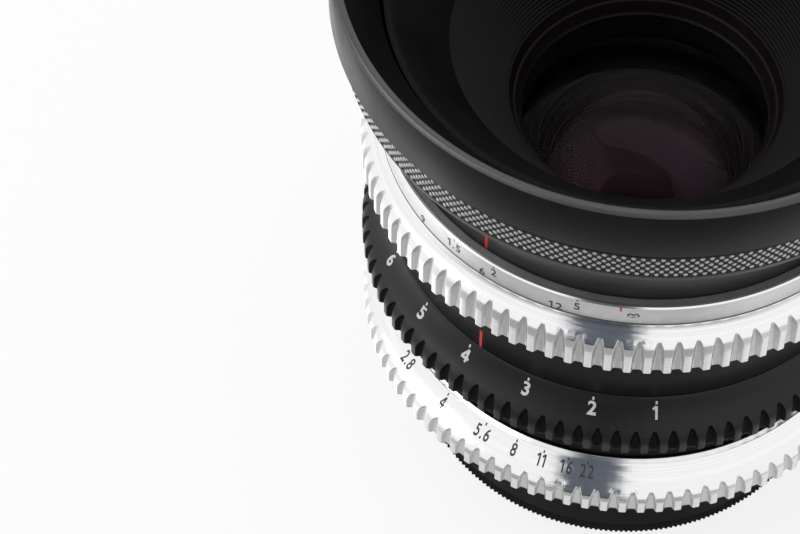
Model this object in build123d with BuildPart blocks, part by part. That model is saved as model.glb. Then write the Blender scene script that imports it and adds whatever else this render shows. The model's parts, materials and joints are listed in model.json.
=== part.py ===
from build123d import *
import math
import os

os.makedirs("parts", exist_ok=True)

# Cinema prime lens standing on its rear end, millimetres.
# The optical axis is Z. Z = 0 is the seating face of the rear mount, +Z looks at the subject.
# A tooth angle is counted from -Y, counter-clockwise seen from the front.

# Fits and clearances
seat_fit = 0.05
slide_clearance = 0.1
running_clearance = 0.2
ring_gap = 0.3
edge_break = 0.2

# Gear rings: one 0.8 module tooth form on three rings
gear_module = 0.8
gear_teeth = 93
tooth_depth = 1.0
slot_mouth_width = 1.65
slot_floor_width = 0.45
slot_foot_depth = 0.5
slot_runout = 1.0
focus_tooth_angle = 34.79
tune_tooth_angle = 40.0
iris_tooth_angle = 40.83

# Rear mount
flange_radius = 28.6
flange_thickness = 2.6
flange_width = 5.6
spigot_wall = 1.6
spigot_length = 5.4
claw_reach = 2.2
claw_inset = 0.5
claw_thickness = 1.5
claw_angle = 46.0
claw_count = 3
mount_screw_inset = 2.4
mount_screw_count = 4
mount_screw_turn = 45.0
screw_head_radius = 1.3
screw_shank_radius = 0.8
screw_length = 4.6
screw_clearance = 0.1
countersink_angle = 82.0
shade_window_width = 30.0
shade_window_height = 24.0
shade_corner = 3.0
shade_thickness = 1.2
shade_inset = 0.8

# Rear barrel and the grip ring on it
grip_ring_wall = 1.55
grip_ring_foot_z = 0.3
rear_floor_step = 1.2
rear_floor_thickness = 2.8
base_wall = 2.2
base_wall_height = 6.0
base_flare_height = 4.8
base_shoulder_wall = 2.0
base_shoulder_height = 5.35

# Lengths along the stack of turning rings and fixed rings, from the rear
iris_band_height = 1.9
iris_slot_height = 3.8
iris_ring_height = 7.25
iris_crown_height = 0.7
iris_crown_step = 0.6
iris_index_height = 7.6
tune_band_height = 1.9
tune_slot_height = 4.0
tune_ring_height = 8.1
tune_index_height = 10.8
focus_band_height = 3.7
focus_slot_height = 5.8
focus_scale_height = 3.5
focus_ring_height = 11.3
focus_counterbore_depth = 4.0

# Walls of the rings, outward from the optical block
block_bore_radius = 23.6
block_wall = 1.6
fork_gap = 0.4
fork_thickness = 2.3
fork_room = 0.7
barrel_wall = 2.4
helicoid_wall = 1.7
iris_index_wall = 2.4
iris_ring_wall = 2.4
tune_index_wall = 3.2
tune_ring_wall = 3.0
neck_wall = 2.8
retainer_wall = 1.0
retainer_inset = 0.3
focus_scale_wall = 0.5

# Neck, lock ring and front ring
neck_gap = 0.4
neck_seat_depth = 4.5
neck_waist_height = 8.3
neck_bore_waist_height = 10.3
neck_flare_height = 7.8
neck_land_height = 1.2
neck_head_radius = 39.9
lock_ring_height = 4.4
lock_ring_rise = 0.9
lock_ring_taper = 0.45
lock_ring_seat_wall = 2.3
front_recess_height = 1.7
front_wall_height = 8.1
front_overhang = 1.8
rim_chamfer = 0.35
rim_land = 0.35
mouth_wall = 1.3
mouth_depth = 0.3
front_bore_wall = 4.6
funnel_foot_rise = 0.5

# Optical block that slides for focus
key_count = 3
key_turn = 60.0
key_angle = 12.0
key_height = 2.6
key_inset = 0.7
key_cover = 0.2
key_depth = 2.1
upper_guide_height = 4.1
lower_guide_height = 3.0
lower_guide_gap = 1.0
focus_travel_up = 4.0
focus_travel_down = 0.62

# Hood and conical baffle of the block
hood_gap = 0.5
hood_rim_width = 0.8
hood_edge_height = 1.3
hood_tube_room = 0.9
hood_tube_wall = 1.3
hood_lip_height = 18.5
hood_lip_overlap = 0.1
hood_lip_thickness = 0.4
hood_shoulder_drop = 0.8
hood_cone_height = 8.7
baffle_edge_height = 1.7
baffle_seat_height = 2.4
baffle_throat_gap = 0.4

# Glasses and the cells that seat them, from the front
front_cell_height = 3.6
front_collar_height = 6.1
front_collar_wall = 1.95
front_glass_radius = 18.0
front_glass_lip = 1.8
front_glass_rise = 1.3
front_glass_edge = 4.8
front_glass_front_curve = 62.0
front_glass_rear_curve = 34.0
bezel_width = 1.6
bezel_rise = 0.5
bezel_mouth_wall = 1.4
bezel_overlap = 1.6
inner_cell_height = 6.1
inner_glass_radius = 15.2
inner_glass_lip = 1.4
inner_glass_rise = 1.4
inner_glass_edge = 2.4
inner_glass_front_curve = 36.0
inner_glass_rear_curve = 80.0
tune_cell_height = 4.6
tune_cell_room = 1.4
tune_cell_inset = 1.1
tune_glass_radius = 13.2
tune_glass_lip = 1.2
tune_glass_rise = 0.8
tune_glass_edge = 2.6
tune_glass_front_curve = 48.0
tune_glass_rear_curve = -48.0
tune_sleeve_height = 3.8
tune_sleeve_wall = 2.5
rear_cell_height = 11.4
rear_inner_glass_radius = 13.0
rear_inner_glass_lip = 0.8
rear_inner_glass_inset = 5.4
rear_inner_glass_edge = 2.0
rear_inner_glass_front_curve = 45.0
rear_inner_glass_rear_curve = -45.0
rear_glass_radius = 14.2
rear_glass_inset = 1.3
rear_glass_edge = 2.2
rear_glass_front_curve = -70.0
rear_glass_rear_curve = -38.0
rear_retainer_wall = 1.8
retainer_overlap = 1.0
retainer_thickness = 0.7

# Iris: flat blades, each a level above the last, swinging on posts outside the light path
blade_count = 8
blade_thickness = 0.2
blade_pitch = 0.35
blade_clearance = 0.4
blade_gap = 0.5
blade_width = 4.8
blade_span = 112.0
open_aperture_radius = 10.6
closed_aperture_radius = 0.84
pivot_gap = 2.2
post_radius = 0.8
post_clearance = 0.1
post_ear_radius = 2.1
drive_arm = 8.0
drive_arm_open_angle = -110.0
drive_pin_radius = 0.5
drive_ear_radius = 1.2
cam_slot_clearance = 0.2
cam_ring_width = 9.0
cam_ring_thickness = 1.2
iris_plate_margin = 0.8
iris_plate_thickness = 1.1
iris_cover_thickness = 1.1

# Turns of the rings from the stored pose in degrees, and the drive rods and forks
iris_open_turn = 48.5
iris_closed_turn = -28.6
tune_low_turn = -42.0
tune_high_turn = 32.0
rod_radius = 1.2
rod_clearance = 0.3
rod_seat_depth = 1.9
iris_rod_rise = 3.65
iris_rod_angle = 0.0
tune_rod_rise = 3.7
tune_rod_angle = 180.0
fork_width = 6.4
fork_slot_clearance = 0.15
fork_wall = 1.4
fork_tab_height = 1.2

# Heights of the outer rings, worked out from the rear
rear_floor_z = flange_thickness + rear_floor_thickness
base_wall_z = flange_thickness + base_wall_height
base_shoulder_z = base_wall_z + base_flare_height
base_head_z = base_shoulder_z + base_shoulder_height
iris_gear_z = base_head_z + ring_gap
iris_top_z = iris_gear_z + iris_ring_height
iris_index_z = iris_top_z + ring_gap
tune_gear_z = iris_index_z + iris_index_height + ring_gap
tune_top_z = tune_gear_z + tune_ring_height
tune_index_z = tune_top_z + ring_gap
focus_gear_z = tune_index_z + tune_index_height + ring_gap
focus_top_z = focus_gear_z + focus_ring_height
focus_scale_z = focus_top_z - focus_scale_height
focus_shoulder_z = focus_top_z - focus_counterbore_depth
neck_foot_z = focus_shoulder_z + neck_gap
neck_waist_z = neck_foot_z + neck_waist_height
neck_flare_z = neck_waist_z + neck_flare_height
neck_head_z = neck_flare_z + neck_land_height
lock_ring_top_z = neck_head_z + lock_ring_height
front_recess_z = lock_ring_top_z + front_recess_height
front_top_z = front_recess_z + front_wall_height
iris_rod_z = iris_gear_z + iris_rod_rise
tune_rod_z = tune_gear_z + tune_rod_rise

# Radii of the outer rings
grip_ring_radius = flange_radius + seat_fit + grip_ring_wall
rear_bore_radius = grip_ring_radius - base_wall
block_radius = block_bore_radius + block_wall
fork_inner_radius = block_radius + fork_gap
fork_outer_radius = fork_inner_radius + fork_thickness
barrel_bore_radius = fork_outer_radius + fork_room
barrel_radius = barrel_bore_radius + barrel_wall
barrel_seat_radius = barrel_radius + seat_fit
base_shoulder_radius = barrel_radius + base_shoulder_wall
ring_bore_radius = barrel_radius + ring_gap
helicoid_radius = ring_bore_radius + helicoid_wall
helicoid_seat_radius = helicoid_radius + seat_fit
neck_radius = barrel_radius + neck_wall
retainer_radius = neck_radius + seat_fit + retainer_wall
focus_counterbore_radius = retainer_radius + running_clearance
focus_scale_radius = focus_counterbore_radius + focus_scale_wall
tip_radius = gear_module * (gear_teeth + 2) / 2
root_radius = tip_radius - tooth_depth
rod_seat_radius = ring_bore_radius + rod_seat_depth
lock_ring_radius = neck_head_radius + lock_ring_rise
lock_ring_bore_radius = neck_head_radius - lock_ring_seat_wall
front_radius = neck_head_radius + front_overhang
front_bore_radius = neck_head_radius - front_bore_wall
mount_screw_circle = flange_radius - mount_screw_inset
spigot_radius = flange_radius - flange_width
throat_radius = spigot_radius - spigot_wall

# Heights in the optical block, worked out downward from its guide keys
key_z = focus_gear_z + key_inset
block_head_z = key_z + key_height + key_cover
front_cell_z = block_head_z - front_cell_height
inner_cell_z = front_cell_z - inner_cell_height
tune_cell_z = inner_cell_z - tune_cell_room - tune_cell_height
tune_sleeve_z = tune_cell_z - tune_cell_inset
tune_sleeve_top_z = tune_sleeve_z + tune_sleeve_height
iris_plate_z = tune_sleeve_z - ring_gap - iris_plate_thickness
blade_floor_z = iris_plate_z - blade_clearance - blade_count * blade_pitch
cam_ring_z = blade_floor_z - blade_gap - cam_ring_thickness
iris_cover_z = cam_ring_z - ring_gap - iris_cover_thickness
block_foot_z = iris_cover_z - rear_cell_height
front_collar_z = block_head_z + front_collar_height
bezel_top_z = front_collar_z + bezel_rise
hood_lip_z = block_head_z + hood_lip_height
hood_shoulder_z = hood_lip_z - hood_shoulder_drop
hood_top_z = hood_lip_z + hood_cone_height
baffle_mouth_z = hood_lip_z - hood_lip_thickness
front_glass_z = front_cell_z + front_glass_rise
inner_glass_z = inner_cell_z + inner_glass_rise
tune_glass_z = tune_cell_z + tune_glass_rise
rear_inner_glass_z = iris_cover_z - rear_inner_glass_inset
rear_glass_z = block_foot_z + rear_glass_inset

# Radii in the optical block
cell_radius = block_bore_radius - seat_fit
turning_radius = block_bore_radius - running_clearance
guide_radius = barrel_bore_radius - slide_clearance
key_radius = ring_bore_radius - slide_clearance
key_root_radius = guide_radius - key_depth
bezel_radius = front_glass_radius + bezel_width
front_collar_radius = bezel_radius + seat_fit + front_collar_wall
bezel_bore_radius = front_glass_radius - bezel_overlap
hood_radius = front_bore_radius - hood_gap
hood_tube_radius = barrel_bore_radius - hood_tube_room
hood_tube_bore_radius = hood_tube_radius - hood_tube_wall
hood_lip_radius = hood_tube_bore_radius - hood_lip_overlap
tune_sleeve_bore_radius = turning_radius - tune_sleeve_wall
tune_cell_radius = tune_sleeve_bore_radius - ring_gap
rear_retainer_radius = rear_glass_radius + rear_retainer_wall
pivot_radius = open_aperture_radius + blade_width + pivot_gap
iris_plate_bore_radius = open_aperture_radius + iris_plate_margin

# Swing of the blades, in step with the iris ring
blade_step = 360 / blade_count
blade_closing_turn = 2 * math.degrees(
    math.asin((open_aperture_radius - closed_aperture_radius) / (2 * pivot_radius))
)
blade_ratio = blade_closing_turn / (iris_open_turn - iris_closed_turn)
blade_rest_turn = blade_ratio * iris_open_turn


def turn_profile(points, mode=Mode.ADD, start=0, arc=360):
    """Turn an outline of (radius, height) points round the optical axis."""
    east = (math.cos(math.radians(start)), math.sin(math.radians(start)), 0)
    normal = (east[1], -east[0], 0)
    with BuildSketch(Plane(origin=(0, 0, 0), x_dir=east, z_dir=normal)) as outline:
        with BuildLine():
            Polyline(*points, close=True)
        make_face()
    revolve(outline.sketch, axis=Axis.Z, revolution_arc=arc, mode=mode)


def tube(inner, outer, low, high, mode=Mode.ADD):
    """A tube between two radii and two heights."""
    turn_profile([(inner, low), (outer, low), (outer, high), (inner, high)], mode)


def sector(inner, outer, low, high, middle, span, mode=Mode.ADD):
    """The part of a tube within a span of angle round a middle direction."""
    corners = [(inner, low), (outer, low), (outer, high), (inner, high)]
    turn_profile(corners, mode, start=middle - span / 2, arc=span)


def half_angle(half_width, radius):
    """Angle that a half width takes up at a radius."""
    return math.degrees(math.asin(half_width / radius))


def turn_gear_ring(bore, gear_z, band_height, slot_height, crown):
    """Turn a gear ring: plain tooth band, round shoulder, hollow flare, then the crown's points."""
    band_end = (tip_radius, gear_z + band_height)
    with BuildSketch(Plane.XZ) as outline:
        with BuildLine():
            Polyline(crown[-1], (bore, gear_z), (tip_radius, gear_z), band_end)
            shoulder = TangentArc(band_end, (root_radius, gear_z + slot_height), tangent=(0, 1))
            TangentArc(shoulder @ 1, crown[0], tangent=shoulder % 1)
            Polyline(*crown)
        make_face()
    revolve(outline.sketch, axis=Axis.Z)


def slot_half_width(depth):
    """Half the width of a tooth slot at a depth under the tooth tips."""
    return (slot_mouth_width - (slot_mouth_width - slot_floor_width) * depth / tooth_depth) / 2


def slot_cutter(gear_z, slot_height):
    """One tooth slot: flanks along the axis, and a floor that leans in towards the top."""
    lean = (tooth_depth - slot_foot_depth) / slot_height
    top_height = slot_height + slot_runout
    mouth = tooth_depth / 2
    with BuildPart() as cutter:
        for height in (0, top_height):
            depth = slot_foot_depth + lean * height
            with BuildSketch(Plane.XY.offset(gear_z + height)):
                Polygon(
                    (-depth, -slot_half_width(depth)),
                    (mouth, -slot_half_width(-mouth)),
                    (mouth, slot_half_width(-mouth)),
                    (-depth, slot_half_width(depth)),
                    align=None,
                )
        loft()
    return cutter.part


def cut_gear_slots(cutter, first_angle):
    """Cut the slots round the ring: the flare above ends each one in a point."""
    with PolarLocations(tip_radius, gear_teeth, start_angle=first_angle - 90):
        add(cutter, mode=Mode.SUBTRACT)


def sagitta(curve, radius):
    """Depth of a spherical face at a radius, with the sign of its curve."""
    return curve - math.copysign(math.sqrt(curve**2 - radius**2), curve)


def face_z(rim_z, curve, rim_radius, radius):
    """Height of a spherical face at a radius, from the height of its rim."""
    return rim_z + sagitta(curve, rim_radius) - sagitta(curve, radius)


def lip_z(rim_z, curve, rim_radius, lip_radius):
    """Top of a lip that the rim or the bulge of a glass rests on."""
    return min(rim_z, face_z(rim_z, curve, rim_radius, lip_radius))


def turn_glass(radius, foot_z, edge, front_curve, rear_curve):
    """Turn a lens element from its rim: a positive curve bulges towards the subject."""
    head_z = foot_z + edge
    middle = radius / 2
    with BuildSketch(Plane.XZ) as outline:
        with BuildLine():
            front = ThreePointArc(
                (0, face_z(head_z, front_curve, radius, 0)),
                (middle, face_z(head_z, front_curve, radius, middle)),
                (radius, head_z),
            )
            rear = ThreePointArc(
                (radius, foot_z),
                (middle, face_z(foot_z, rear_curve, radius, middle)),
                (0, face_z(foot_z, rear_curve, radius, 0)),
            )
            Line(front @ 1, rear @ 0)
            Line(rear @ 1, front @ 0)
        make_face()
    revolve(outline.sketch, axis=Axis.Z)


def turn_glass_retainer(radius, head_z, front_curve):
    """Thin ring that rests on the front face of a glass and fills its bore."""
    bore = radius - retainer_overlap
    foot_z = max(head_z, face_z(head_z, front_curve, radius, bore))
    tube(bore, radius, foot_z, foot_z + retainer_thickness)


def fork(angle, rod_z, ring_outer, tab_z, head_z):
    """Tab and slotted plate that follow a drive rod while the optical block slides."""
    slot_low = rod_z - focus_travel_up - rod_radius - rod_clearance
    slot_high = rod_z + focus_travel_down + rod_radius + rod_clearance
    plate_low = slot_low - fork_wall
    centred = (Align.MIN, Align.CENTER, Align.MIN)
    with Locations(Location((0, 0, 0), (0, 0, angle))):
        with Locations((ring_outer - fork_wall, 0, tab_z)):
            Box(fork_inner_radius - ring_outer + 2 * fork_wall, fork_width, fork_tab_height, align=centred)
        with Locations((fork_inner_radius, 0, plate_low)):
            Box(fork_thickness, fork_width, head_z - plate_low, align=centred)
        with Locations((fork_inner_radius - edge_break, 0, slot_low)):
            Box(
                fork_thickness + 2 * edge_break,
                2 * (rod_radius + fork_slot_clearance),
                slot_high - slot_low,
                align=centred,
                mode=Mode.SUBTRACT,
            )


def radial_rod(radius, inner, outer, rod_z, angle, mode=Mode.ADD):
    """A round rod that points away from the optical axis."""
    foot = (Align.CENTER, Align.CENTER, Align.MIN)
    with Locations(Location((0, 0, rod_z), (0, 0, angle))):
        with Locations((inner, 0, 0)):
            Cylinder(radius, outer - inner, rotation=(0, 90, 0), align=foot, mode=mode)


def finish(builder, name):
    """Name a finished piece and write it."""
    builder.part.label = name
    export_step(builder.part, f"parts/{name}.step")


# Rear mount: seating flange, spigot and bayonet claws turned in one piece
claw_foot_z = claw_inset - spigot_length
with BuildPart() as mount_plate:
    tube(throat_radius, flange_radius, 0, flange_thickness)
    tube(throat_radius, spigot_radius, -spigot_length, 0)
    for claw in range(claw_count):
        sector(
            spigot_radius - edge_break,
            spigot_radius + claw_reach,
            claw_foot_z,
            claw_foot_z + claw_thickness,
            claw * 360 / claw_count,
            claw_angle,
        )
    with PolarLocations(mount_screw_circle, mount_screw_count, start_angle=mount_screw_turn):
        with Locations(Location((0, 0, 0), (180, 0, 0))):
            CounterSinkHole(
                screw_shank_radius + screw_clearance,
                screw_head_radius + screw_clearance,
                counter_sink_angle=countersink_angle,
            )
finish(mount_plate, "mount_plate")

# Countersunk screws that hold the mount plate
upward = (Align.CENTER, Align.CENTER, Align.MIN)
head_height = (screw_head_radius - screw_shank_radius) / math.tan(math.radians(countersink_angle / 2))
with BuildPart() as mount_screws:
    with PolarLocations(mount_screw_circle, mount_screw_count, start_angle=mount_screw_turn):
        with Locations((0, 0, screw_clearance)):
            Cone(screw_head_radius, screw_shank_radius, head_height, align=upward)
            Cylinder(screw_shank_radius, screw_length, align=upward)
finish(mount_screws, "mount_screws")

# Rear light shade: a thin disc with a picture-shaped window, in the throat
with BuildPart() as rear_light_shade:
    with BuildSketch(Plane.XY.offset(shade_inset)):
        Circle(throat_radius - seat_fit)
        RectangleRounded(shade_window_width, shade_window_height, shade_corner, mode=Mode.SUBTRACT)
    extrude(amount=shade_thickness)
finish(rear_light_shade, "rear_light_shade")

# Ribbed grip ring round the mount plate
with BuildPart() as rear_grip_ring:
    tube(flange_radius + seat_fit, grip_ring_radius, grip_ring_foot_z, flange_thickness)
finish(rear_grip_ring, "rear_grip_ring")

# Rear barrel: floor for the mount screws, smooth wall, shoulder under the iris ring
with BuildPart() as rear_barrel:
    turn_profile(
        [
            (throat_radius + rear_floor_step, flange_thickness),
            (grip_ring_radius, flange_thickness),
            (grip_ring_radius, base_wall_z),
            (base_shoulder_radius, base_shoulder_z),
            (base_shoulder_radius, base_head_z),
            (barrel_seat_radius, base_head_z),
            (barrel_seat_radius, base_shoulder_z),
            (rear_bore_radius, base_shoulder_z),
            (rear_bore_radius, rear_floor_z),
            (throat_radius + rear_floor_step, rear_floor_z),
        ]
    )
    with PolarLocations(mount_screw_circle, mount_screw_count, start_angle=mount_screw_turn):
        with Locations((0, 0, flange_thickness)):
            Cylinder(
                screw_shank_radius + seat_fit,
                rear_floor_thickness,
                align=upward,
                mode=Mode.SUBTRACT,
            )
finish(rear_barrel, "rear_barrel")

# Main barrel: straight slots for the guide keys, arc slots for the two drive rods
with BuildPart() as main_barrel:
    tube(barrel_bore_radius, barrel_radius, base_shoulder_z, neck_foot_z + neck_seat_depth)
    slot_inner = barrel_bore_radius - barrel_wall
    slot_outer = barrel_radius + barrel_wall
    for key in range(key_count):
        sector(
            slot_inner,
            slot_outer,
            key_z - focus_travel_down - running_clearance,
            key_z + key_height + focus_travel_up + running_clearance,
            key_turn + key * 360 / key_count,
            key_angle + 2 * half_angle(running_clearance, barrel_radius),
            mode=Mode.SUBTRACT,
        )
    rod_room = 2 * half_angle(rod_radius + rod_clearance, barrel_bore_radius)
    for rod_z, rod_angle, low_turn, high_turn in (
        (iris_rod_z, iris_rod_angle, iris_closed_turn, iris_open_turn),
        (tune_rod_z, tune_rod_angle, tune_low_turn, tune_high_turn),
    ):
        sector(
            slot_inner,
            slot_outer,
            rod_z - rod_radius - rod_clearance,
            rod_z + rod_radius + rod_clearance,
            rod_angle + (low_turn + high_turn) / 2,
            high_turn - low_turn + rod_room,
            mode=Mode.SUBTRACT,
        )
finish(main_barrel, "main_barrel")

# Fixed black rings between the turning rings; they carry the red index marks
with BuildPart() as iris_index_ring:
    index_radius = barrel_radius + iris_index_wall
    tube(barrel_seat_radius, index_radius, iris_index_z, iris_index_z + iris_index_height)
finish(iris_index_ring, "iris_index_ring")

with BuildPart() as tune_index_ring:
    index_radius = barrel_radius + tune_index_wall
    tube(barrel_seat_radius, index_radius, tune_index_z, tune_index_z + tune_index_height)
finish(tune_index_ring, "tune_index_ring")

# Retaining ring whose flat top shows inside the focus ring
with BuildPart() as focus_retaining_ring:
    tube(neck_radius + seat_fit, retainer_radius, neck_foot_z, focus_top_z - retainer_inset)
finish(focus_retaining_ring, "focus_retaining_ring")

# Neck: straight at the focus ring, flared to the front
with BuildPart() as neck_barrel:
    turn_profile(
        [
            (barrel_seat_radius, neck_foot_z),
            (neck_radius, neck_foot_z),
            (neck_radius, neck_waist_z),
            (neck_head_radius, neck_flare_z),
            (neck_head_radius, neck_head_z),
            (front_bore_radius, neck_head_z),
            (front_bore_radius, neck_flare_z),
            (barrel_seat_radius, neck_foot_z + neck_bore_waist_height),
        ]
    )
finish(neck_barrel, "neck_barrel")

# Knurled lock ring behind the front ring, slightly wider at the front
with BuildPart() as front_lock_ring:
    turn_profile(
        [
            (lock_ring_bore_radius, neck_head_z),
            (lock_ring_radius - lock_ring_taper - edge_break, neck_head_z),
            (lock_ring_radius - lock_ring_taper, neck_head_z + edge_break),
            (lock_ring_radius, lock_ring_top_z - edge_break),
            (lock_ring_radius - edge_break, lock_ring_top_z),
            (lock_ring_bore_radius, lock_ring_top_z),
        ]
    )
finish(front_lock_ring, "front_lock_ring")

# Front ring: threaded seat, wide plain wall, chamfered rim and the outer part of the funnel
with BuildPart() as front_ring:
    turn_profile(
        [
            (front_bore_radius, neck_head_z),
            (lock_ring_bore_radius - seat_fit, neck_head_z),
            (lock_ring_bore_radius - seat_fit, lock_ring_top_z),
            (neck_head_radius, lock_ring_top_z),
            (neck_head_radius, front_recess_z),
            (front_radius, front_recess_z),
            (front_radius, front_top_z - rim_chamfer),
            (front_radius - rim_chamfer, front_top_z),
            (front_radius - rim_chamfer - rim_land, front_top_z),
            (front_radius - mouth_wall, front_top_z - mouth_depth),
            (front_bore_radius, front_recess_z + funnel_foot_rise),
        ]
    )
finish(front_ring, "front_ring")

# Focus ring: tooth band, flare, scale face, and a counterbore for the retaining ring
focus_slot = slot_cutter(focus_gear_z, focus_slot_height)
with BuildPart() as focus_ring:
    turn_gear_ring(
        helicoid_seat_radius,
        focus_gear_z,
        focus_band_height,
        focus_slot_height,
        [
            (focus_scale_radius, focus_scale_z - edge_break),
            (focus_scale_radius - edge_break, focus_scale_z),
            (focus_scale_radius, focus_scale_z + edge_break),
            (focus_scale_radius, focus_top_z - edge_break),
            (focus_scale_radius - edge_break, focus_top_z),
            (focus_counterbore_radius, focus_top_z),
            (focus_counterbore_radius, focus_shoulder_z),
            (helicoid_seat_radius, focus_shoulder_z),
        ],
    )
    cut_gear_slots(focus_slot, focus_tooth_angle)
finish(focus_ring, "focus_ring")

# Helicoid nut fixed in the focus ring; its thread is left plain
with BuildPart() as focus_helicoid:
    tube(ring_bore_radius, helicoid_radius, focus_gear_z + ring_gap, focus_shoulder_z)
finish(focus_helicoid, "focus_helicoid")

# Tune ring and the rod that it drives
tune_slot = slot_cutter(tune_gear_z, tune_slot_height)
with BuildPart() as tune_ring:
    tune_top_radius = ring_bore_radius + tune_ring_wall
    turn_gear_ring(
        ring_bore_radius,
        tune_gear_z,
        tune_band_height,
        tune_slot_height,
        [
            (tune_top_radius, tune_top_z - edge_break),
            (tune_top_radius - edge_break, tune_top_z),
            (ring_bore_radius, tune_top_z),
        ],
    )
    cut_gear_slots(tune_slot, tune_tooth_angle)
    radial_rod(
        rod_radius + seat_fit, barrel_radius, rod_seat_radius, tune_rod_z, tune_rod_angle, Mode.SUBTRACT
    )
finish(tune_ring, "tune_ring")

with BuildPart() as tune_drive_rod:
    rod_end = fork_inner_radius + fork_gap
    radial_rod(rod_radius, rod_end, rod_seat_radius, tune_rod_z, tune_rod_angle)
finish(tune_drive_rod, "tune_drive_rod")

# Iris ring with its stepped crown, and the rod that it drives
iris_slot = slot_cutter(iris_gear_z, iris_slot_height)
with BuildPart() as iris_ring:
    iris_top_radius = ring_bore_radius + iris_ring_wall
    iris_crown_radius = iris_top_radius + iris_crown_step
    iris_crown_z = iris_top_z - iris_crown_height
    turn_gear_ring(
        ring_bore_radius,
        iris_gear_z,
        iris_band_height,
        iris_slot_height,
        [
            (iris_crown_radius, iris_crown_z - edge_break),
            (iris_crown_radius - edge_break, iris_crown_z),
            (iris_top_radius, iris_crown_z),
            (iris_top_radius, iris_top_z),
            (ring_bore_radius, iris_top_z),
        ],
    )
    cut_gear_slots(iris_slot, iris_tooth_angle)
    radial_rod(
        rod_radius + seat_fit, barrel_radius, rod_seat_radius, iris_rod_z, iris_rod_angle, Mode.SUBTRACT
    )
finish(iris_ring, "iris_ring")

with BuildPart() as iris_drive_rod:
    radial_rod(rod_radius, rod_end, rod_seat_radius, iris_rod_z, iris_rod_angle)
finish(iris_drive_rod, "iris_drive_rod")

# Block barrel: two guide lands, key pockets, and windows for the tabs of the two forks
lower_guide_z = tune_sleeve_top_z + lower_guide_gap
upper_guide_z = block_head_z - upper_guide_height
with BuildPart() as block_barrel:
    turn_profile(
        [
            (block_bore_radius, block_foot_z),
            (block_radius, block_foot_z),
            (block_radius, lower_guide_z),
            (guide_radius, lower_guide_z),
            (guide_radius, lower_guide_z + lower_guide_height),
            (block_radius, lower_guide_z + lower_guide_height),
            (block_radius, upper_guide_z),
            (guide_radius, upper_guide_z),
            (guide_radius, block_head_z),
            (block_bore_radius, block_head_z),
        ]
    )
    for key in range(key_count):
        sector(
            key_root_radius,
            barrel_radius,
            key_z,
            key_z + key_height,
            key_turn + key * 360 / key_count,
            key_angle,
            mode=Mode.SUBTRACT,
        )
    tab_room = 2 * half_angle(fork_width / 2 + rod_clearance, block_bore_radius)
    for tab_z, fork_angle, low_turn, high_turn in (
        (cam_ring_z, iris_rod_angle, iris_closed_turn, iris_open_turn),
        (tune_sleeve_z, tune_rod_angle, tune_low_turn, tune_high_turn),
    ):
        sector(
            block_bore_radius - block_wall,
            block_radius + block_wall,
            tab_z - running_clearance,
            tab_z + fork_tab_height + running_clearance,
            fork_angle + (low_turn + high_turn) / 2,
            high_turn - low_turn + tab_room,
            mode=Mode.SUBTRACT,
        )
finish(block_barrel, "block_barrel")

# Keys that slide in the straight slots and run in the helicoid
with BuildPart() as guide_keys:
    for key in range(key_count):
        sector(
            key_root_radius + seat_fit,
            key_radius,
            key_z + seat_fit,
            key_z + key_height - seat_fit,
            key_turn + key * 360 / key_count,
            key_angle - 2 * half_angle(seat_fit, key_root_radius),
        )
finish(guide_keys, "guide_keys")

# Deep hood: tube on the block and the smooth cone that meets the front funnel
with BuildPart() as front_hood:
    turn_profile(
        [
            (hood_tube_bore_radius, block_head_z),
            (hood_tube_radius, block_head_z),
            (hood_tube_radius, hood_shoulder_z),
            (hood_radius, hood_top_z - hood_edge_height),
            (hood_radius, hood_top_z),
            (hood_radius - hood_rim_width, hood_top_z),
            (hood_lip_radius, hood_lip_z),
            (hood_lip_radius, baffle_mouth_z),
            (hood_tube_bore_radius, baffle_mouth_z),
        ]
    )
finish(front_hood, "front_hood")

# Conical baffle between hood and front glass, resting on the front cell's collar
with BuildPart() as conical_baffle:
    baffle_radius = hood_tube_bore_radius - seat_fit
    baffle_inner_radius = bezel_radius + edge_break
    baffle_throat_radius = bezel_radius - bezel_mouth_wall + baffle_throat_gap
    turn_profile(
        [
            (baffle_throat_radius, bezel_top_z + ring_gap),
            (baffle_inner_radius, bezel_top_z + ring_gap - edge_break),
            (baffle_inner_radius, front_collar_z),
            (front_collar_radius, front_collar_z),
            (front_collar_radius, front_collar_z + baffle_seat_height),
            (baffle_radius, baffle_mouth_z - baffle_edge_height),
            (baffle_radius, baffle_mouth_z),
            (baffle_radius - edge_break, baffle_mouth_z),
        ]
    )
finish(conical_baffle, "conical_baffle")

# Front glass, the cell that seats it, and the bezel that keeps it in
front_glass_head_z = front_glass_z + front_glass_edge
bezel_foot_z = face_z(
    front_glass_head_z, front_glass_front_curve, front_glass_radius, bezel_bore_radius
)
with BuildPart() as front_glass:
    turn_glass(
        front_glass_radius,
        front_glass_z,
        front_glass_edge,
        front_glass_front_curve,
        front_glass_rear_curve,
    )
finish(front_glass, "front_glass")

with BuildPart() as front_cell:
    glass_bore = front_glass_radius + seat_fit
    lip_radius = front_glass_radius - front_glass_lip
    turn_profile(
        [
            (lip_radius, front_cell_z),
            (cell_radius, front_cell_z),
            (cell_radius, block_head_z),
            (front_collar_radius, block_head_z),
            (front_collar_radius, front_collar_z),
            (bezel_radius + seat_fit, front_collar_z),
            (bezel_radius + seat_fit, bezel_foot_z),
            (glass_bore, bezel_foot_z),
            (glass_bore, front_glass_z),
            (lip_radius, front_glass_z),
        ]
    )
finish(front_cell, "front_cell")

with BuildPart() as front_bezel:
    turn_profile(
        [
            (bezel_bore_radius, bezel_foot_z),
            (bezel_radius, bezel_foot_z),
            (bezel_radius, bezel_top_z),
            (bezel_radius - bezel_mouth_wall, bezel_top_z),
        ]
    )
finish(front_bezel, "front_bezel")

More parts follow.
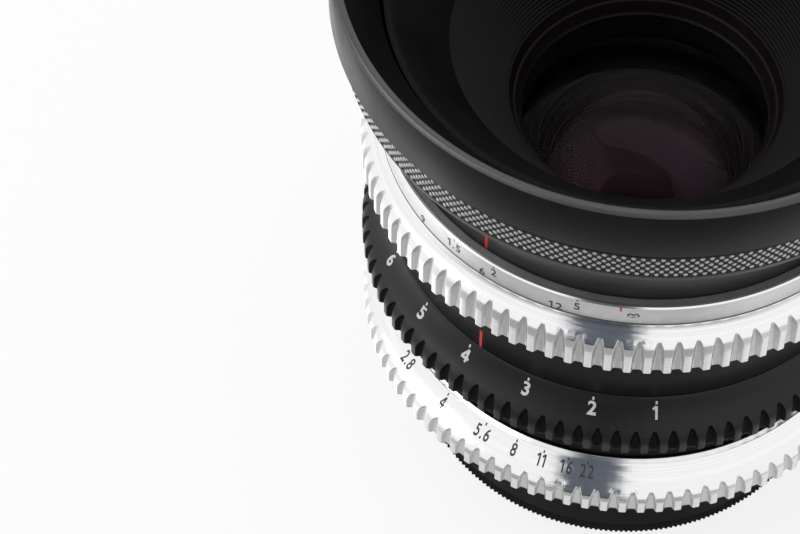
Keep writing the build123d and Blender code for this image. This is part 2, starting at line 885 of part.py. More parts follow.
# Inner glass with its cell and retaining ring
with BuildPart() as inner_glass:
    turn_glass(
        inner_glass_radius,
        inner_glass_z,
        inner_glass_edge,
        inner_glass_front_curve,
        inner_glass_rear_curve,
    )
finish(inner_glass, "inner_glass")

with BuildPart() as inner_cell:
    glass_bore = inner_glass_radius + seat_fit
    lip_radius = inner_glass_radius - inner_glass_lip
    inner_lip_z = lip_z(inner_glass_z, inner_glass_rear_curve, inner_glass_radius, lip_radius)
    turn_profile(
        [
            (lip_radius, inner_cell_z),
            (cell_radius, inner_cell_z),
            (cell_radius, front_cell_z),
            (glass_bore, front_cell_z),
            (glass_bore, inner_lip_z),
            (lip_radius, inner_lip_z),
        ]
    )
finish(inner_cell, "inner_cell")

with BuildPart() as inner_retaining_ring:
    turn_glass_retainer(inner_glass_radius, inner_glass_z + inner_glass_edge, inner_glass_front_curve)
finish(inner_retaining_ring, "inner_retaining_ring")

# Tune sleeve turns in the block; the tune cell inside it moves along the axis
with BuildPart() as tune_sleeve:
    tube(tune_sleeve_bore_radius, turning_radius, tune_sleeve_z, tune_sleeve_top_z)
    fork(tune_rod_angle, tune_rod_z, turning_radius, tune_sleeve_z, tune_sleeve_top_z)
finish(tune_sleeve, "tune_sleeve")

with BuildPart() as tune_glass:
    turn_glass(
        tune_glass_radius,
        tune_glass_z,
        tune_glass_edge,
        tune_glass_front_curve,
        tune_glass_rear_curve,
    )
finish(tune_glass, "tune_glass")

with BuildPart() as tune_cell:
    glass_bore = tune_glass_radius + seat_fit
    lip_radius = tune_glass_radius - tune_glass_lip
    tune_lip_z = lip_z(tune_glass_z, tune_glass_rear_curve, tune_glass_radius, lip_radius)
    turn_profile(
        [
            (lip_radius, tune_cell_z),
            (tune_cell_radius, tune_cell_z),
            (tune_cell_radius, tune_cell_z + tune_cell_height),
            (glass_bore, tune_cell_z + tune_cell_height),
            (glass_bore, tune_lip_z),
            (lip_radius, tune_lip_z),
        ]
    )
finish(tune_cell, "tune_cell")

with BuildPart() as tune_retaining_ring:
    turn_glass_retainer(tune_glass_radius, tune_glass_z + tune_glass_edge, tune_glass_front_curve)
finish(tune_retaining_ring, "tune_retaining_ring")

# Iris plate with the posts that the blades swing on
with BuildPart() as iris_plate:
    tube(iris_plate_bore_radius, cell_radius, iris_plate_z, iris_plate_z + iris_plate_thickness)
    post_foot_z = cam_ring_z + cam_ring_thickness + running_clearance
    with PolarLocations(pivot_radius, blade_count):
        with Locations((0, 0, post_foot_z)):
            Cylinder(post_radius, iris_plate_z - post_foot_z, align=upward)
finish(iris_plate, "iris_plate")

# Cover plate under the cam ring
with BuildPart() as iris_cover:
    tube(iris_plate_bore_radius, cell_radius, iris_cover_z, iris_cover_z + iris_cover_thickness)
finish(iris_cover, "iris_cover")


def drive_pin_place(swing):
    """Place of the first blade's drive pin after the blade has swung in from wide open."""
    direction = math.radians(drive_arm_open_angle + swing)
    return pivot_radius + drive_arm * math.cos(direction), drive_arm * math.sin(direction)


def in_cam_ring(swing):
    """The same place seen from the cam ring, which turns back as the blades close."""
    along, across = drive_pin_place(swing)
    back_turn = math.radians((swing - blade_rest_turn) / blade_ratio)
    return (
        along * math.cos(back_turn) - across * math.sin(back_turn),
        along * math.sin(back_turn) + across * math.cos(back_turn),
    )


# Cam ring: one curved slot for each blade's pin, and the fork that turns it
with BuildPart() as iris_cam_ring:
    with BuildSketch(Plane.XY.offset(cam_ring_z)):
        Circle(turning_radius)
        Circle(turning_radius - cam_ring_width, mode=Mode.SUBTRACT)
        slot_path = Edge.make_three_point_arc(
            in_cam_ring(0), in_cam_ring(blade_closing_turn / 2), in_cam_ring(blade_closing_turn)
        )
        with PolarLocations(0, blade_count):
            SlotArc(slot_path, 2 * (drive_pin_radius + cam_slot_clearance), mode=Mode.SUBTRACT)
    extrude(amount=cam_ring_thickness)
    fork(iris_rod_angle, iris_rod_z, turning_radius, cam_ring_z, cam_ring_z + fork_tab_height)
finish(iris_cam_ring, "iris_cam_ring")

# One blade seen from its post, wide open: curved band, ear on the post, ear for the drive pin
drive_turn = math.radians(drive_arm_open_angle)
drive_spot = (drive_arm * math.cos(drive_turn), drive_arm * math.sin(drive_turn))
band_radius = open_aperture_radius + blade_width / 2
band_start = (band_radius - pivot_radius, 0)
with BuildSketch() as blade_outline:
    band_path = CenterArc((-pivot_radius, 0), band_radius, 0, blade_span, mode=Mode.PRIVATE)
    SlotArc(band_path, blade_width)
    SlotArc(Edge.make_line(band_start, (0, 0)), 2 * post_ear_radius)
    SlotArc(Edge.make_line((0, 0), drive_spot), 2 * drive_ear_radius)
    Circle(post_radius + post_clearance, mode=Mode.SUBTRACT)
    with Locations(drive_spot):
        Circle(drive_pin_radius, mode=Mode.SUBTRACT)

# The blades and their drive pins, numbered round the iris
for number in range(blade_count):
    post_angle = math.radians(number * blade_step)
    swing_angle = post_angle + math.radians(blade_rest_turn)
    level_z = blade_floor_z + number * blade_pitch
    blade_plane = Plane(
        origin=(pivot_radius * math.cos(post_angle), pivot_radius * math.sin(post_angle), level_z),
        x_dir=(math.cos(swing_angle), math.sin(swing_angle), 0),
        z_dir=(0, 0, 1),
    )
    with BuildPart() as iris_blade:
        with BuildSketch(blade_plane):
            add(blade_outline.sketch)
        extrude(amount=blade_thickness)
    finish(iris_blade, f"iris_blade_{number + 1}")
    with BuildPart() as iris_pin:
        with BuildSketch(blade_plane.offset(blade_thickness)):
            with Locations(drive_spot):
                Circle(drive_pin_radius)
        extrude(amount=cam_ring_z - level_z - blade_thickness)
    finish(iris_pin, f"iris_pin_{number + 1}")

# Rear inner glass with its retaining ring
with BuildPart() as rear_inner_glass:
    turn_glass(
        rear_inner_glass_radius,
        rear_inner_glass_z,
        rear_inner_glass_edge,
        rear_inner_glass_front_curve,
        rear_inner_glass_rear_curve,
    )
finish(rear_inner_glass, "rear_inner_glass")

with BuildPart() as rear_inner_retaining_ring:
    turn_glass_retainer(
        rear_inner_glass_radius,
        rear_inner_glass_z + rear_inner_glass_edge,
        rear_inner_glass_front_curve,
    )
finish(rear_inner_retaining_ring, "rear_inner_retaining_ring")

# Rear glass, and the ring that its bulge rests on
with BuildPart() as rear_glass:
    turn_glass(
        rear_glass_radius,
        rear_glass_z,
        rear_glass_edge,
        rear_glass_front_curve,
        rear_glass_rear_curve,
    )
finish(rear_glass, "rear_glass")

rear_retainer_bore = rear_glass_radius - retainer_overlap
rear_retainer_z = lip_z(rear_glass_z, rear_glass_rear_curve, rear_glass_radius, rear_retainer_bore)
with BuildPart() as rear_retaining_ring:
    tube(rear_retainer_bore, rear_retainer_radius, block_foot_z, rear_retainer_z)
finish(rear_retaining_ring, "rear_retaining_ring")

# Rear cell: a lip between its two glasses, open to the retaining ring behind
with BuildPart() as rear_cell:
    inner_bore = rear_inner_glass_radius + seat_fit
    rear_bore = rear_glass_radius + seat_fit
    lip_radius = rear_inner_glass_radius - rear_inner_glass_lip
    rear_lip_z = lip_z(
        rear_inner_glass_z, rear_inner_glass_rear_curve, rear_inner_glass_radius, lip_radius
    )
    turn_profile(
        [
            (rear_retainer_radius + seat_fit, block_foot_z),
            (cell_radius, block_foot_z),
            (cell_radius, iris_cover_z),
            (inner_bore, iris_cover_z),
            (inner_bore, rear_lip_z),
            (lip_radius, rear_lip_z),
            (lip_radius, rear_glass_z + rear_glass_edge),
            (rear_bore, rear_glass_z + rear_glass_edge),
            (rear_bore, rear_retainer_z),
            (rear_retainer_radius + seat_fit, rear_retainer_z),
        ]
    )
finish(rear_cell, "rear_cell")
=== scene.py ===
import json
import math

import bmesh
import bpy
from mathutils import Matrix, Vector


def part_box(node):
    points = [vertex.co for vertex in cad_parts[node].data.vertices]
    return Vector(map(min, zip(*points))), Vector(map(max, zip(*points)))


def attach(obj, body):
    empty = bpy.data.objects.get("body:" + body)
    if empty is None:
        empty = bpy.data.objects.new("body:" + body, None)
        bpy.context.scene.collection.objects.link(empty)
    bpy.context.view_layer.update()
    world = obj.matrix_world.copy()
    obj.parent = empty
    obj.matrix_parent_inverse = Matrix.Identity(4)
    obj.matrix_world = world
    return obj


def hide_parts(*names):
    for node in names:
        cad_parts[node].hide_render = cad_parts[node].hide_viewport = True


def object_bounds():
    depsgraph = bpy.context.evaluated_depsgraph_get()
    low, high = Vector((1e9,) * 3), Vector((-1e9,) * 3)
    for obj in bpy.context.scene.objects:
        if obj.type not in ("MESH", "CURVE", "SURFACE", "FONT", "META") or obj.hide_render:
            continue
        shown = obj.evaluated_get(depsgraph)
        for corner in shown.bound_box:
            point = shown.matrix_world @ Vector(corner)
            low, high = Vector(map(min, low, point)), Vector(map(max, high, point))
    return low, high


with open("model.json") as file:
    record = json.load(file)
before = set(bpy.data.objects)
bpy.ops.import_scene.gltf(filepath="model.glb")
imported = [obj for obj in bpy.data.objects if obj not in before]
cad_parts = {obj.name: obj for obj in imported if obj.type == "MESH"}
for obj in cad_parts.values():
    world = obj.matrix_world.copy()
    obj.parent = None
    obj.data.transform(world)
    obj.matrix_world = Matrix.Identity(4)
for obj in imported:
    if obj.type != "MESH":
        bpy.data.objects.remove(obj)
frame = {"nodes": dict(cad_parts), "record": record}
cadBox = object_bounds()
mm = 0.001
hair = 0.01  # millimetres, to tell the corners of an outline apart

# Camera worked out from the circles of the rings in the photograph
camera = {
    "place": (0.0, -0.25114, 0.37808),
    "turn": -7.48,  # degrees from +Y
    "tilt": 54.88,  # degrees below the horizon
    "roll": -0.13,
    "lens": 135.81,  # millimetres on a 36 mm sensor
    "nearest": 0.01,
}


def placeCamera():
    turn, tilt, roll = (math.radians(camera[key]) for key in ("turn", "tilt", "roll"))
    ahead = Vector((math.sin(turn) * math.cos(tilt), math.cos(turn) * math.cos(tilt), -math.sin(tilt)))
    side = Vector((math.cos(turn), -math.sin(turn), 0))
    up = side.cross(ahead)
    sideRolled = math.cos(roll) * side + math.sin(roll) * up
    upRolled = math.cos(roll) * up - math.sin(roll) * side
    lens = bpy.data.cameras.new("camera")
    lens.lens = camera["lens"]
    lens.clip_start = camera["nearest"]
    eye = bpy.data.objects.new("camera", lens)
    eye.matrix_world = Matrix((sideRolled, upRolled, -ahead)).transposed().to_4x4()
    eye.location = camera["place"]
    bpy.context.scene.collection.objects.link(eye)
    bpy.context.scene.camera = eye


placeCamera()
print("camera placed")


# Node helpers for the materials
def newMaterial(name):
    material = bpy.data.materials.new(name)
    material.use_nodes = True
    tree = material.node_tree
    tree.nodes.clear()
    output = tree.nodes.new("ShaderNodeOutputMaterial")
    shader = tree.nodes.new("ShaderNodeBsdfPrincipled")
    tree.links.new(shader.outputs["BSDF"], output.inputs["Surface"])
    return material, tree, shader


def addNode(tree, kind, **values):
    node = tree.nodes.new(kind)
    for key, value in values.items():
        setattr(node, key, value)
    return node


def addMath(tree, operation, first, second=None):
    node = addNode(tree, "ShaderNodeMath", operation=operation)
    for slot, value in enumerate((first, second)):
        if value is None:
            continue
        if isinstance(value, (int, float)):
            node.inputs[slot].default_value = value
        else:
            tree.links.new(value, node.inputs[slot])
    return node.outputs[0]


def addWeighted(tree, first, firstShare, second, secondShare):
    return addMath(tree, "ADD", addMath(tree, "MULTIPLY", first, firstShare),
                   addMath(tree, "MULTIPLY", second, secondShare))


def addRange(tree, value, fromLow, fromHigh, toLow, toHigh):
    node = addNode(tree, "ShaderNodeMapRange")
    tree.links.new(value, node.inputs["Value"])
    for key, number in (("From Min", fromLow), ("From Max", fromHigh), ("To Min", toLow), ("To Max", toHigh)):
        node.inputs[key].default_value = number
    return node.outputs["Result"]


def addNoise(tree, vector, scale, detail=3.0, roughness=0.55):
    node = addNode(tree, "ShaderNodeTexNoise")
    tree.links.new(vector, node.inputs["Vector"])
    node.inputs["Scale"].default_value = scale
    node.inputs["Detail"].default_value = detail
    node.inputs["Roughness"].default_value = roughness
    return node.outputs["Fac"]


def addBump(tree, shader, height, depth):
    node = addNode(tree, "ShaderNodeBump")
    node.inputs["Strength"].default_value = 1.0
    node.inputs["Distance"].default_value = depth
    tree.links.new(height, node.inputs["Height"])
    tree.links.new(node.outputs["Normal"], shader.inputs["Normal"])


def mixColours(tree, factor, first, second):
    node = addNode(tree, "ShaderNodeMix", data_type="RGBA")
    tree.links.new(factor, node.inputs["Factor"])
    for slot, colour in ((6, first), (7, second)):  # the inputs of a Mix node that take colours
        node.inputs[slot].default_value = (*colour, 1)
    return node.outputs[2]


def objectPoint(tree):
    return addNode(tree, "ShaderNodeTexCoord").outputs["Object"]


def splitPoint(tree, vector):
    split = addNode(tree, "ShaderNodeSeparateXYZ")
    tree.links.new(vector, split.inputs[0])
    return split.outputs


def latheVector(tree):
    # Radius and height, so that noise follows the marks of a lathe
    place = splitPoint(tree, objectPoint(tree))
    across = addMath(tree, "MULTIPLY", place["X"], place["X"])
    along = addMath(tree, "MULTIPLY", place["Y"], place["Y"])
    join = addNode(tree, "ShaderNodeCombineXYZ")
    tree.links.new(addMath(tree, "SQRT", addMath(tree, "ADD", across, along)), join.inputs["X"])
    tree.links.new(place["Z"], join.inputs["Z"])
    return join.outputs[0]


# Noise scales count per metre, bump depths are in metres, and most of a noise lies in these spans
noiseSpan = (0.3, 0.7)
mixedSpan = (0.35, 0.65)
anodising = {"cloud": 90, "speckle": 2600, "turning": 5200, "shade": (0.75, 1.3), "spread": 0.07,
             "depth": 0.000006}


def anodised(name, colour, roughness, specular, blast=3.5, lines=1.5):
    material, tree, shader = newMaterial(name)
    p = anodising
    point = objectPoint(tree)
    cloud = addNoise(tree, point, p["cloud"], 4)
    speckle = addNoise(tree, point, p["speckle"], 2, 0.7)
    turning = addNoise(tree, latheVector(tree), p["turning"], 2, 0.6)
    mottle = addWeighted(tree, cloud, 0.6, speckle, 0.4)
    tint = addNode(tree, "ShaderNodeVectorMath", operation="SCALE")
    tint.inputs[0].default_value = colour
    tree.links.new(addRange(tree, mottle, *mixedSpan, *p["shade"]), tint.inputs["Scale"])
    tree.links.new(tint.outputs[0], shader.inputs["Base Color"])
    wear = addRange(tree, cloud, *noiseSpan, roughness - p["spread"], roughness + p["spread"])
    tree.links.new(wear, shader.inputs["Roughness"])
    shader.inputs["Specular IOR Level"].default_value = specular
    addBump(tree, shader, addWeighted(tree, speckle, blast, turning, lines), p["depth"])
    return material


metalGrain = {"cloud": 120, "smear": 700, "turning": 4200, "dull": 0.86}


def bareMetal(name, colour, roughness, depth=0.0000048, spread=0.05):
    material, tree, shader = newMaterial(name)
    p = metalGrain
    point = objectPoint(tree)
    cloud = addNoise(tree, point, p["cloud"], 4)
    turning = addNoise(tree, latheVector(tree), p["turning"], 3, 0.65)
    smear = addNoise(tree, point, p["smear"], 3, 0.6)
    dull = tuple(channel * p["dull"] for channel in colour)
    sheen = mixColours(tree, addRange(tree, turning, *noiseSpan, 0, 1), dull, colour)
    tree.links.new(sheen, shader.inputs["Base Color"])
    shader.inputs["Metallic"].default_value = 1.0
    wear = addWeighted(tree, cloud, 0.5, smear, 0.5)
    wear = addRange(tree, wear, *mixedSpan, roughness - spread, roughness + spread)
    tree.links.new(wear, shader.inputs["Roughness"])
    addBump(tree, shader, turning, depth)
    return material


paintGrain = {"speckle": 3000, "dull": 0.8, "roughness": 0.5, "depth": 0.000004}


def paint(name, colour):
    material, tree, shader = newMaterial(name)
    p = paintGrain
    grain = addNoise(tree, objectPoint(tree), p["speckle"], 2)
    dark = tuple(channel * p["dull"] for channel in colour)
    shade = mixColours(tree, addRange(tree, grain, *noiseSpan, 0, 1), dark, colour)
    tree.links.new(shade, shader.inputs["Base Color"])
    shader.inputs["Roughness"].default_value = p["roughness"]
    addBump(tree, shader, grain, p["depth"])
    return material


glassSurface = {"dust": 1800, "dustRoughness": 0.04, "index": 1.5}


def coatedGlass(name, tint, coatTint):
    material, tree, shader = newMaterial(name)
    p = glassSurface
    dust = addNoise(tree, objectPoint(tree), p["dust"], 2, 0.7)
    tree.links.new(addRange(tree, dust, 0.55, 0.8, 0.0, p["dustRoughness"]), shader.inputs["Roughness"])
    shader.inputs["Base Color"].default_value = (*tint, 1)
    shader.inputs["Transmission Weight"].default_value = 1.0
    shader.inputs["IOR"].default_value = p["index"]
    shader.inputs["Specular Tint"].default_value = (*coatTint, 1)  # the coating kills most of the reflection
    return material


knurlWear = {"chips": 2400, "chipping": 0.12, "bare": (0.40, 0.66), "depth": 0.000006,
             "groove": (0.006, 0.006, 0.006), "grooveRoughness": 0.5, "tip": (0.66, 0.66, 0.66),
             "tipRoughness": 0.42}


def knurlFinish(name):
    # Black grooves, and bare metal where the dots stand high
    material, tree, shader = newMaterial(name)
    p = knurlWear
    height = addNode(tree, "ShaderNodeAttribute", attribute_name="knurlHeight").outputs["Fac"]
    chips = addNoise(tree, objectPoint(tree), p["chips"], 3, 0.7)
    level = addMath(tree, "ADD", height, addRange(tree, chips, *noiseSpan, -p["chipping"], p["chipping"]))
    bare = addRange(tree, level, *p["bare"], 0, 1)
    tree.links.new(mixColours(tree, bare, p["groove"], p["tip"]), shader.inputs["Base Color"])
    tree.links.new(bare, shader.inputs["Metallic"])
    roughness = addRange(tree, bare, 0, 1, p["grooveRoughness"], p["tipRoughness"])
    tree.links.new(roughness, shader.inputs["Roughness"])
    addBump(tree, shader, chips, p["depth"])
    return material


# Colour, roughness and specular level, then the strength of the blasting and of the turned lines
anodisedFinishes = {
    "satinBlack": ((0.0048, 0.0048, 0.0050), 0.36, 0.12),
    "neckBlack": ((0.022, 0.021, 0.021), 0.40, 0.9, 1.0, 2.5),
    "tuneBlack": ((0.0068, 0.0060, 0.0060), 0.38, 0.34),
    # The next finish is darker than the tune ring's own black: painted shade in its slots
    "slotBlack": ((0.0014, 0.0013, 0.0013), 0.5, 0.06),
    # The next finish is lighter than the ring's own black: a painted highlight on the front ring's rim
    "rimBlack": ((0.030, 0.030, 0.031), 0.30, 0.7),
    # The next finish is a mid grey on the black collar: a painted sheen of its upward face
    "collarSheenGrey": ((0.18, 0.18, 0.182), 0.32, 0.9, 1.0, 2.0),
    "innerBlack": ((0.0035, 0.0035, 0.0037), 0.55, 0.10),
    "baffleBlack": ((0.0022, 0.0022, 0.0022), 0.36, 0.11),
    # The next finish's red cast is a painted reflection of the glass coatings in the black bezel
    "bezelRedReflection": ((0.0050, 0.0030, 0.0032), 0.45, 0.10),
}
# Colour and roughness, then the depth of the turned lines and how much the roughness varies
metalFinishes = {
    "polishedMetal": ((0.96, 0.96, 0.965), 0.12, 0.0000016, 0.03),
    "milledMetal": ((0.74, 0.74, 0.74), 0.36, 0.000008),
    "scaleMetal": ((0.80, 0.80, 0.80), 0.27, 0.0000032),
    # The next finish is dark grey metal for the focus ring's V groove: painted shade
    "grooveGrey": ((0.16, 0.16, 0.165), 0.4),
    "mountSteel": ((0.62, 0.61, 0.59), 0.28),
    "screwSteel": ((0.5, 0.5, 0.5), 0.3),
    "brass": ((0.72, 0.53, 0.25), 0.3),
    "bladeSteel": ((0.05, 0.05, 0.055), 0.42),
    "plainAluminium": ((0.6, 0.6, 0.61), 0.4),
}
paintColours = {
    "whitePaint": (0.62, 0.62, 0.61),
    "greyPaint": (0.045, 0.045, 0.047),
    "redPaint": (0.62, 0.022, 0.018),
}
# What passes through, and what the coating leaves of the reflection
glassTints = {
    "frontCoating": ((0.84, 0.81, 0.83), (0.022, 0.009, 0.014)),
    "innerCoating": ((0.80, 0.77, 0.79), (0.040, 0.008, 0.018)),
}
finishes = {name: anodised(name, *values) for name, values in anodisedFinishes.items()}
finishes |= {name: bareMetal(name, *values) for name, values in metalFinishes.items()}
finishes["knurlSilver"] = knurlFinish("knurlSilver")
finishes |= {name: paint(name, colour) for name, colour in paintColours.items()}
finishes |= {name: coatedGlass(name, *values) for name, values in glassTints.items()}
print("materials made")


# Turned pieces: an outline of (radius, height) in millimetres is spun round the axis
def showPiece(name, shape, body, finish, nodes=(), sharp=35.0):
    # finish names the materials by index, and edges sharper than sharp degrees stay hard
    for face in shape.faces:
        face.smooth = True
    for edge in shape.edges:
        edge.smooth = edge.calc_face_angle(0.0) < math.radians(sharp)
    mesh = bpy.data.meshes.new(name)
    shape.to_mesh(mesh)
    shape.free()
    for each in finish.split():
        mesh.materials.append(finishes[each])
    piece = bpy.data.objects.new(name, mesh)
    bpy.context.scene.collection.objects.link(piece)
    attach(piece, body)
    if nodes:
        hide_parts(*nodes)


def spinOutline(outline, steps, softness=0.0, closed=True, sectorSteps=16):
    shape = bmesh.new()
    corners = [shape.verts.new((radius * mm, 0, height * mm)) for radius, height in outline]
    if closed:
        shape.faces.new(corners)
        if softness:
            bmesh.ops.bevel(shape, geom=list(shape.verts), offset=softness * mm, offset_type="OFFSET",
                            affect="VERTICES", segments=2, profile=0.5, material=-1, clamp_overlap=True)
        bmesh.ops.delete(shape, geom=list(shape.faces), context="FACES_ONLY")
    else:
        for first, second in zip(corners, corners[1:]):
            shape.edges.new((first, second))
    sectors = steps // sectorSteps  # one sector is spun, and copies of it close the round
    bmesh.ops.spin(shape, geom=list(shape.verts) + list(shape.edges), cent=(0, 0, 0), axis=(0, 0, 1),
                   angle=math.tau / sectors, steps=sectorSteps, use_merge=False)
    first = list(shape.verts) + list(shape.edges) + list(shape.faces)
    for sector in range(1, sectors):
        copy = bmesh.ops.duplicate(shape, geom=first)["geom"]
        bmesh.ops.rotate(shape, cent=(0, 0, 0), matrix=Matrix.Rotation(math.tau * sector / sectors, 3, "Z"),
                         verts=[item for item in copy if isinstance(item, bmesh.types.BMVert)])
    bmesh.ops.remove_doubles(shape, verts=list(shape.verts), dist=0.0005 * mm)
    bmesh.ops.recalc_face_normals(shape, faces=list(shape.faces))
    shape.verts.index_update()
    return shape


def tangentArc(start, direction, end, count):
    # An arc that leaves start along direction. Returns its points after start, and its direction at the end
    away = Vector((end[0] - start[0], end[1] - start[1]))
    normal = Vector((-direction[1], direction[0])).normalized()
    reach = away.length_squared / (2 * away.dot(normal))
    centre = Vector(start) + normal * reach
    first = Vector(start) - centre
    last = Vector(end) - centre
    sweep = math.atan2(first.x * last.y - first.y * last.x, first.dot(last))
    points = []
    for step in range(1, count + 1):
        turn = sweep * step / count
        points.append((centre.x + first.x * math.cos(turn) - first.y * math.sin(turn),
                       centre.y + first.x * math.sin(turn) + first.y * math.cos(turn)))
    ahead = Vector((-last.y, last.x)) * math.copysign(1, sweep)
    return points, ahead.normalized()


def nodeSpan(node):
    # Outer radius, foot and top of a turned node
    low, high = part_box(node)
    return high.x / mm, low.z / mm, high.z / mm


# Front ring with its wall, chamfered rim and funnel
frontRing = {"wallHeight": 8.1, "recessRadius": 39.9, "chamfer": 0.35, "rimLand": 0.35, "mouthWall": 1.3,
             "mouthDrop": 0.3, "bore": 35.3, "seat": 37.55, "seatHeight": 4.4, "funnelRise": 0.5,
             "softness": 0.07, "steps": 384}


def makeFrontRing():
    radius, foot, top = nodeSpan("front_ring")
    p = frontRing
    wallFoot = top - p["wallHeight"]
    seatTop = foot + p["seatHeight"]
    outline = [
        (p["bore"], foot), (p["seat"], foot), (p["seat"], seatTop), (p["recessRadius"], seatTop),
        (p["recessRadius"], wallFoot), (radius, wallFoot), (radius, top - p["chamfer"]),
        (radius - p["chamfer"], top), (radius - p["chamfer"] - p["rimLand"], top),
        (radius - p["mouthWall"], top - p["mouthDrop"]), (p["bore"], wallFoot + p["funnelRise"]),
    ]
    shape = spinOutline(outline, p["steps"], p["softness"])
    for face in shape.faces:  # the chamfer and the land on the rim get a lighter black, a painted highlight along the rim, and more shine
        middle = face.calc_center_median() / mm
        reach = math.hypot(middle.x, middle.y)
        if middle.z > top - p["chamfer"] - p["softness"] and reach > radius - p["mouthWall"]:
            face.material_index = 1
    showPiece("frontRing", shape, "barrel", "satinBlack rimBlack", ["front_ring"])


# Knurled ring: a staggered lattice of rounded dots, bare on their tips
knurl = {"dotsRound": 216, "rows": 6, "columnsPerDot": 6, "stepsPerRow": 5, "depth": 0.30, "edge": 0.1,
         "bore": 37.6, "taper": 0.45}


def makeKnurledRing():
    radius, foot, top = nodeSpan("front_lock_ring")
    p = knurl
    low = (radius - p["taper"], foot + p["edge"])
    high = (radius, top - p["edge"])
    rowSteps = p["rows"] * p["stepsPerRow"]
    outline = [(p["bore"], foot), (low[0] - p["edge"], foot)]
    for step in range(rowSteps + 1):
        share = step / rowSteps
        outline.append((low[0] + (high[0] - low[0]) * share, low[1] + (high[1] - low[1]) * share))
    outline += [(high[0] - p["edge"], top), (p["bore"], top)]
    shape = spinOutline(outline, p["dotsRound"] * p["columnsPerDot"], sectorSteps=p["columnsPerDot"])
    layer = shape.verts.layers.float.new("knurlHeight")
    for vert in shape.verts:
        height = vert.co.z / mm
        reach = math.hypot(vert.co.x, vert.co.y)
        if not low[1] - hair < height < high[1] + hair or reach / mm < low[0] - p["edge"] / 2:
            continue
        rows = (height - low[1]) / (high[1] - low[1]) * p["rows"]
        dots = math.atan2(vert.co.y, vert.co.x) / math.tau * p["dotsRound"]
        rise = 1.0
        for way in (0.5, -0.5):
            rise *= 0.5 + 0.5 * math.cos(math.tau * (dots + way * (rows - 0.5)))
        rise = rise ** 0.5
        vert[layer] = rise
        shrink = 1 - (1 - rise) * p["depth"] * mm / reach
        vert.co.x *= shrink
        vert.co.y *= shrink
    showPiece("knurledRing", shape, "barrel", "knurlSilver", ["front_lock_ring"], sharp=70)


# Neck barrel, straight and then flared under the knurl
neck = {"bore": 31.05, "wall": 33.8, "waist": 8.3, "boreWaist": 10.3, "flare": 7.8, "headBore": 35.3,
        "softness": 0.05, "steps": 320}


def makeNeck():
    radius, foot, top = nodeSpan("neck_barrel")
    p = neck
    flareTop = foot + p["waist"] + p["flare"]
    outline = [
        (p["bore"], foot), (p["wall"], foot), (p["wall"], foot + p["waist"]), (radius, flareTop),
        (radius, top), (p["headBore"], top), (p["headBore"], flareTop), (p["bore"], foot + p["boreWaist"]),
    ]
    shape = spinOutline(outline, p["steps"], p["softness"])
    showPiece("neckBarrel", shape, "barrel", "neckBlack", ["neck_barrel"])


# Flat black ring that holds the focus ring down, coloured grey for a painted sheen on its upward face
collar = {"wall": 1.0, "softness": 0.08, "steps": 320}


def makeCollar():
    radius, foot, top = nodeSpan("focus_retaining_ring")
    inner = radius - collar["wall"]
    outline = [(inner, foot), (radius, foot), (radius, top), (inner, top)]
    shape = spinOutline(outline, collar["steps"], collar["softness"])
    showPiece("focusCollar", shape, "barrel", "collarSheenGrey", ["focus_retaining_ring"])


# Gear rings: columns fall on the edges of each slot, and one row follows the rim of the slot's end
gearForm = {"teeth": 93, "depth": 1.0, "footDepth": 0.5, "mouth": 1.65, "floor": 0.45, "edgeRound": 0.07,
            "footBreak": 0.2, "footLand": 0.3, "outerWall": 0.2, "facetWall": 0.15, "bandSteps": 4,
            "shoulderSteps": 9, "flareSteps": 8, "curveSteps": 60, "endSteps": 30,
            "sharp": 28}
# Heights count from the ring's foot, and the first slot's place is in degrees from -Y
gearRings = {
    "focusGearRing": {
        "node": "focus_ring", "body": "focus", "finish": "polishedMetal milledMetal scaleMetal grooveGrey",
        "slot": "polished_aluminium", "bore": 33.05, "band": 3.7, "slotHeight": 5.8, "firstSlot": 34.79,
        "crown": [(35.55, 7.6), (35.35, 7.8), (35.55, 8.0), (35.55, 11.1), (35.35, 11.3), (35.05, 11.3),
                  (35.05, 7.3), (33.05, 7.3)], "facet": (7.85, 11.05),
    },
    "tuneGearRing": {
        "node": "tune_ring", "body": "tune", "finish": "tuneBlack slotBlack", "slot": "black_anodised",
        "bore": 31.3, "band": 1.9, "slotHeight": 4.0, "firstSlot": 40.0,
        "crown": [(34.3, 7.9), (34.1, 8.1), (31.3, 8.1)], "facet": (0, 0),
    },
    "irisGearRing": {
        "node": "iris_ring", "body": "iris", "finish": "polishedMetal milledMetal",
        "slot": "polished_aluminium", "bore": 31.3, "band": 1.9, "slotHeight": 3.8, "firstSlot": 40.83,
        "crown": [(34.3, 6.35), (34.1, 6.55), (33.7, 6.55), (33.7, 7.25), (31.3, 7.25)], "facet": (0, 0),
    },
}


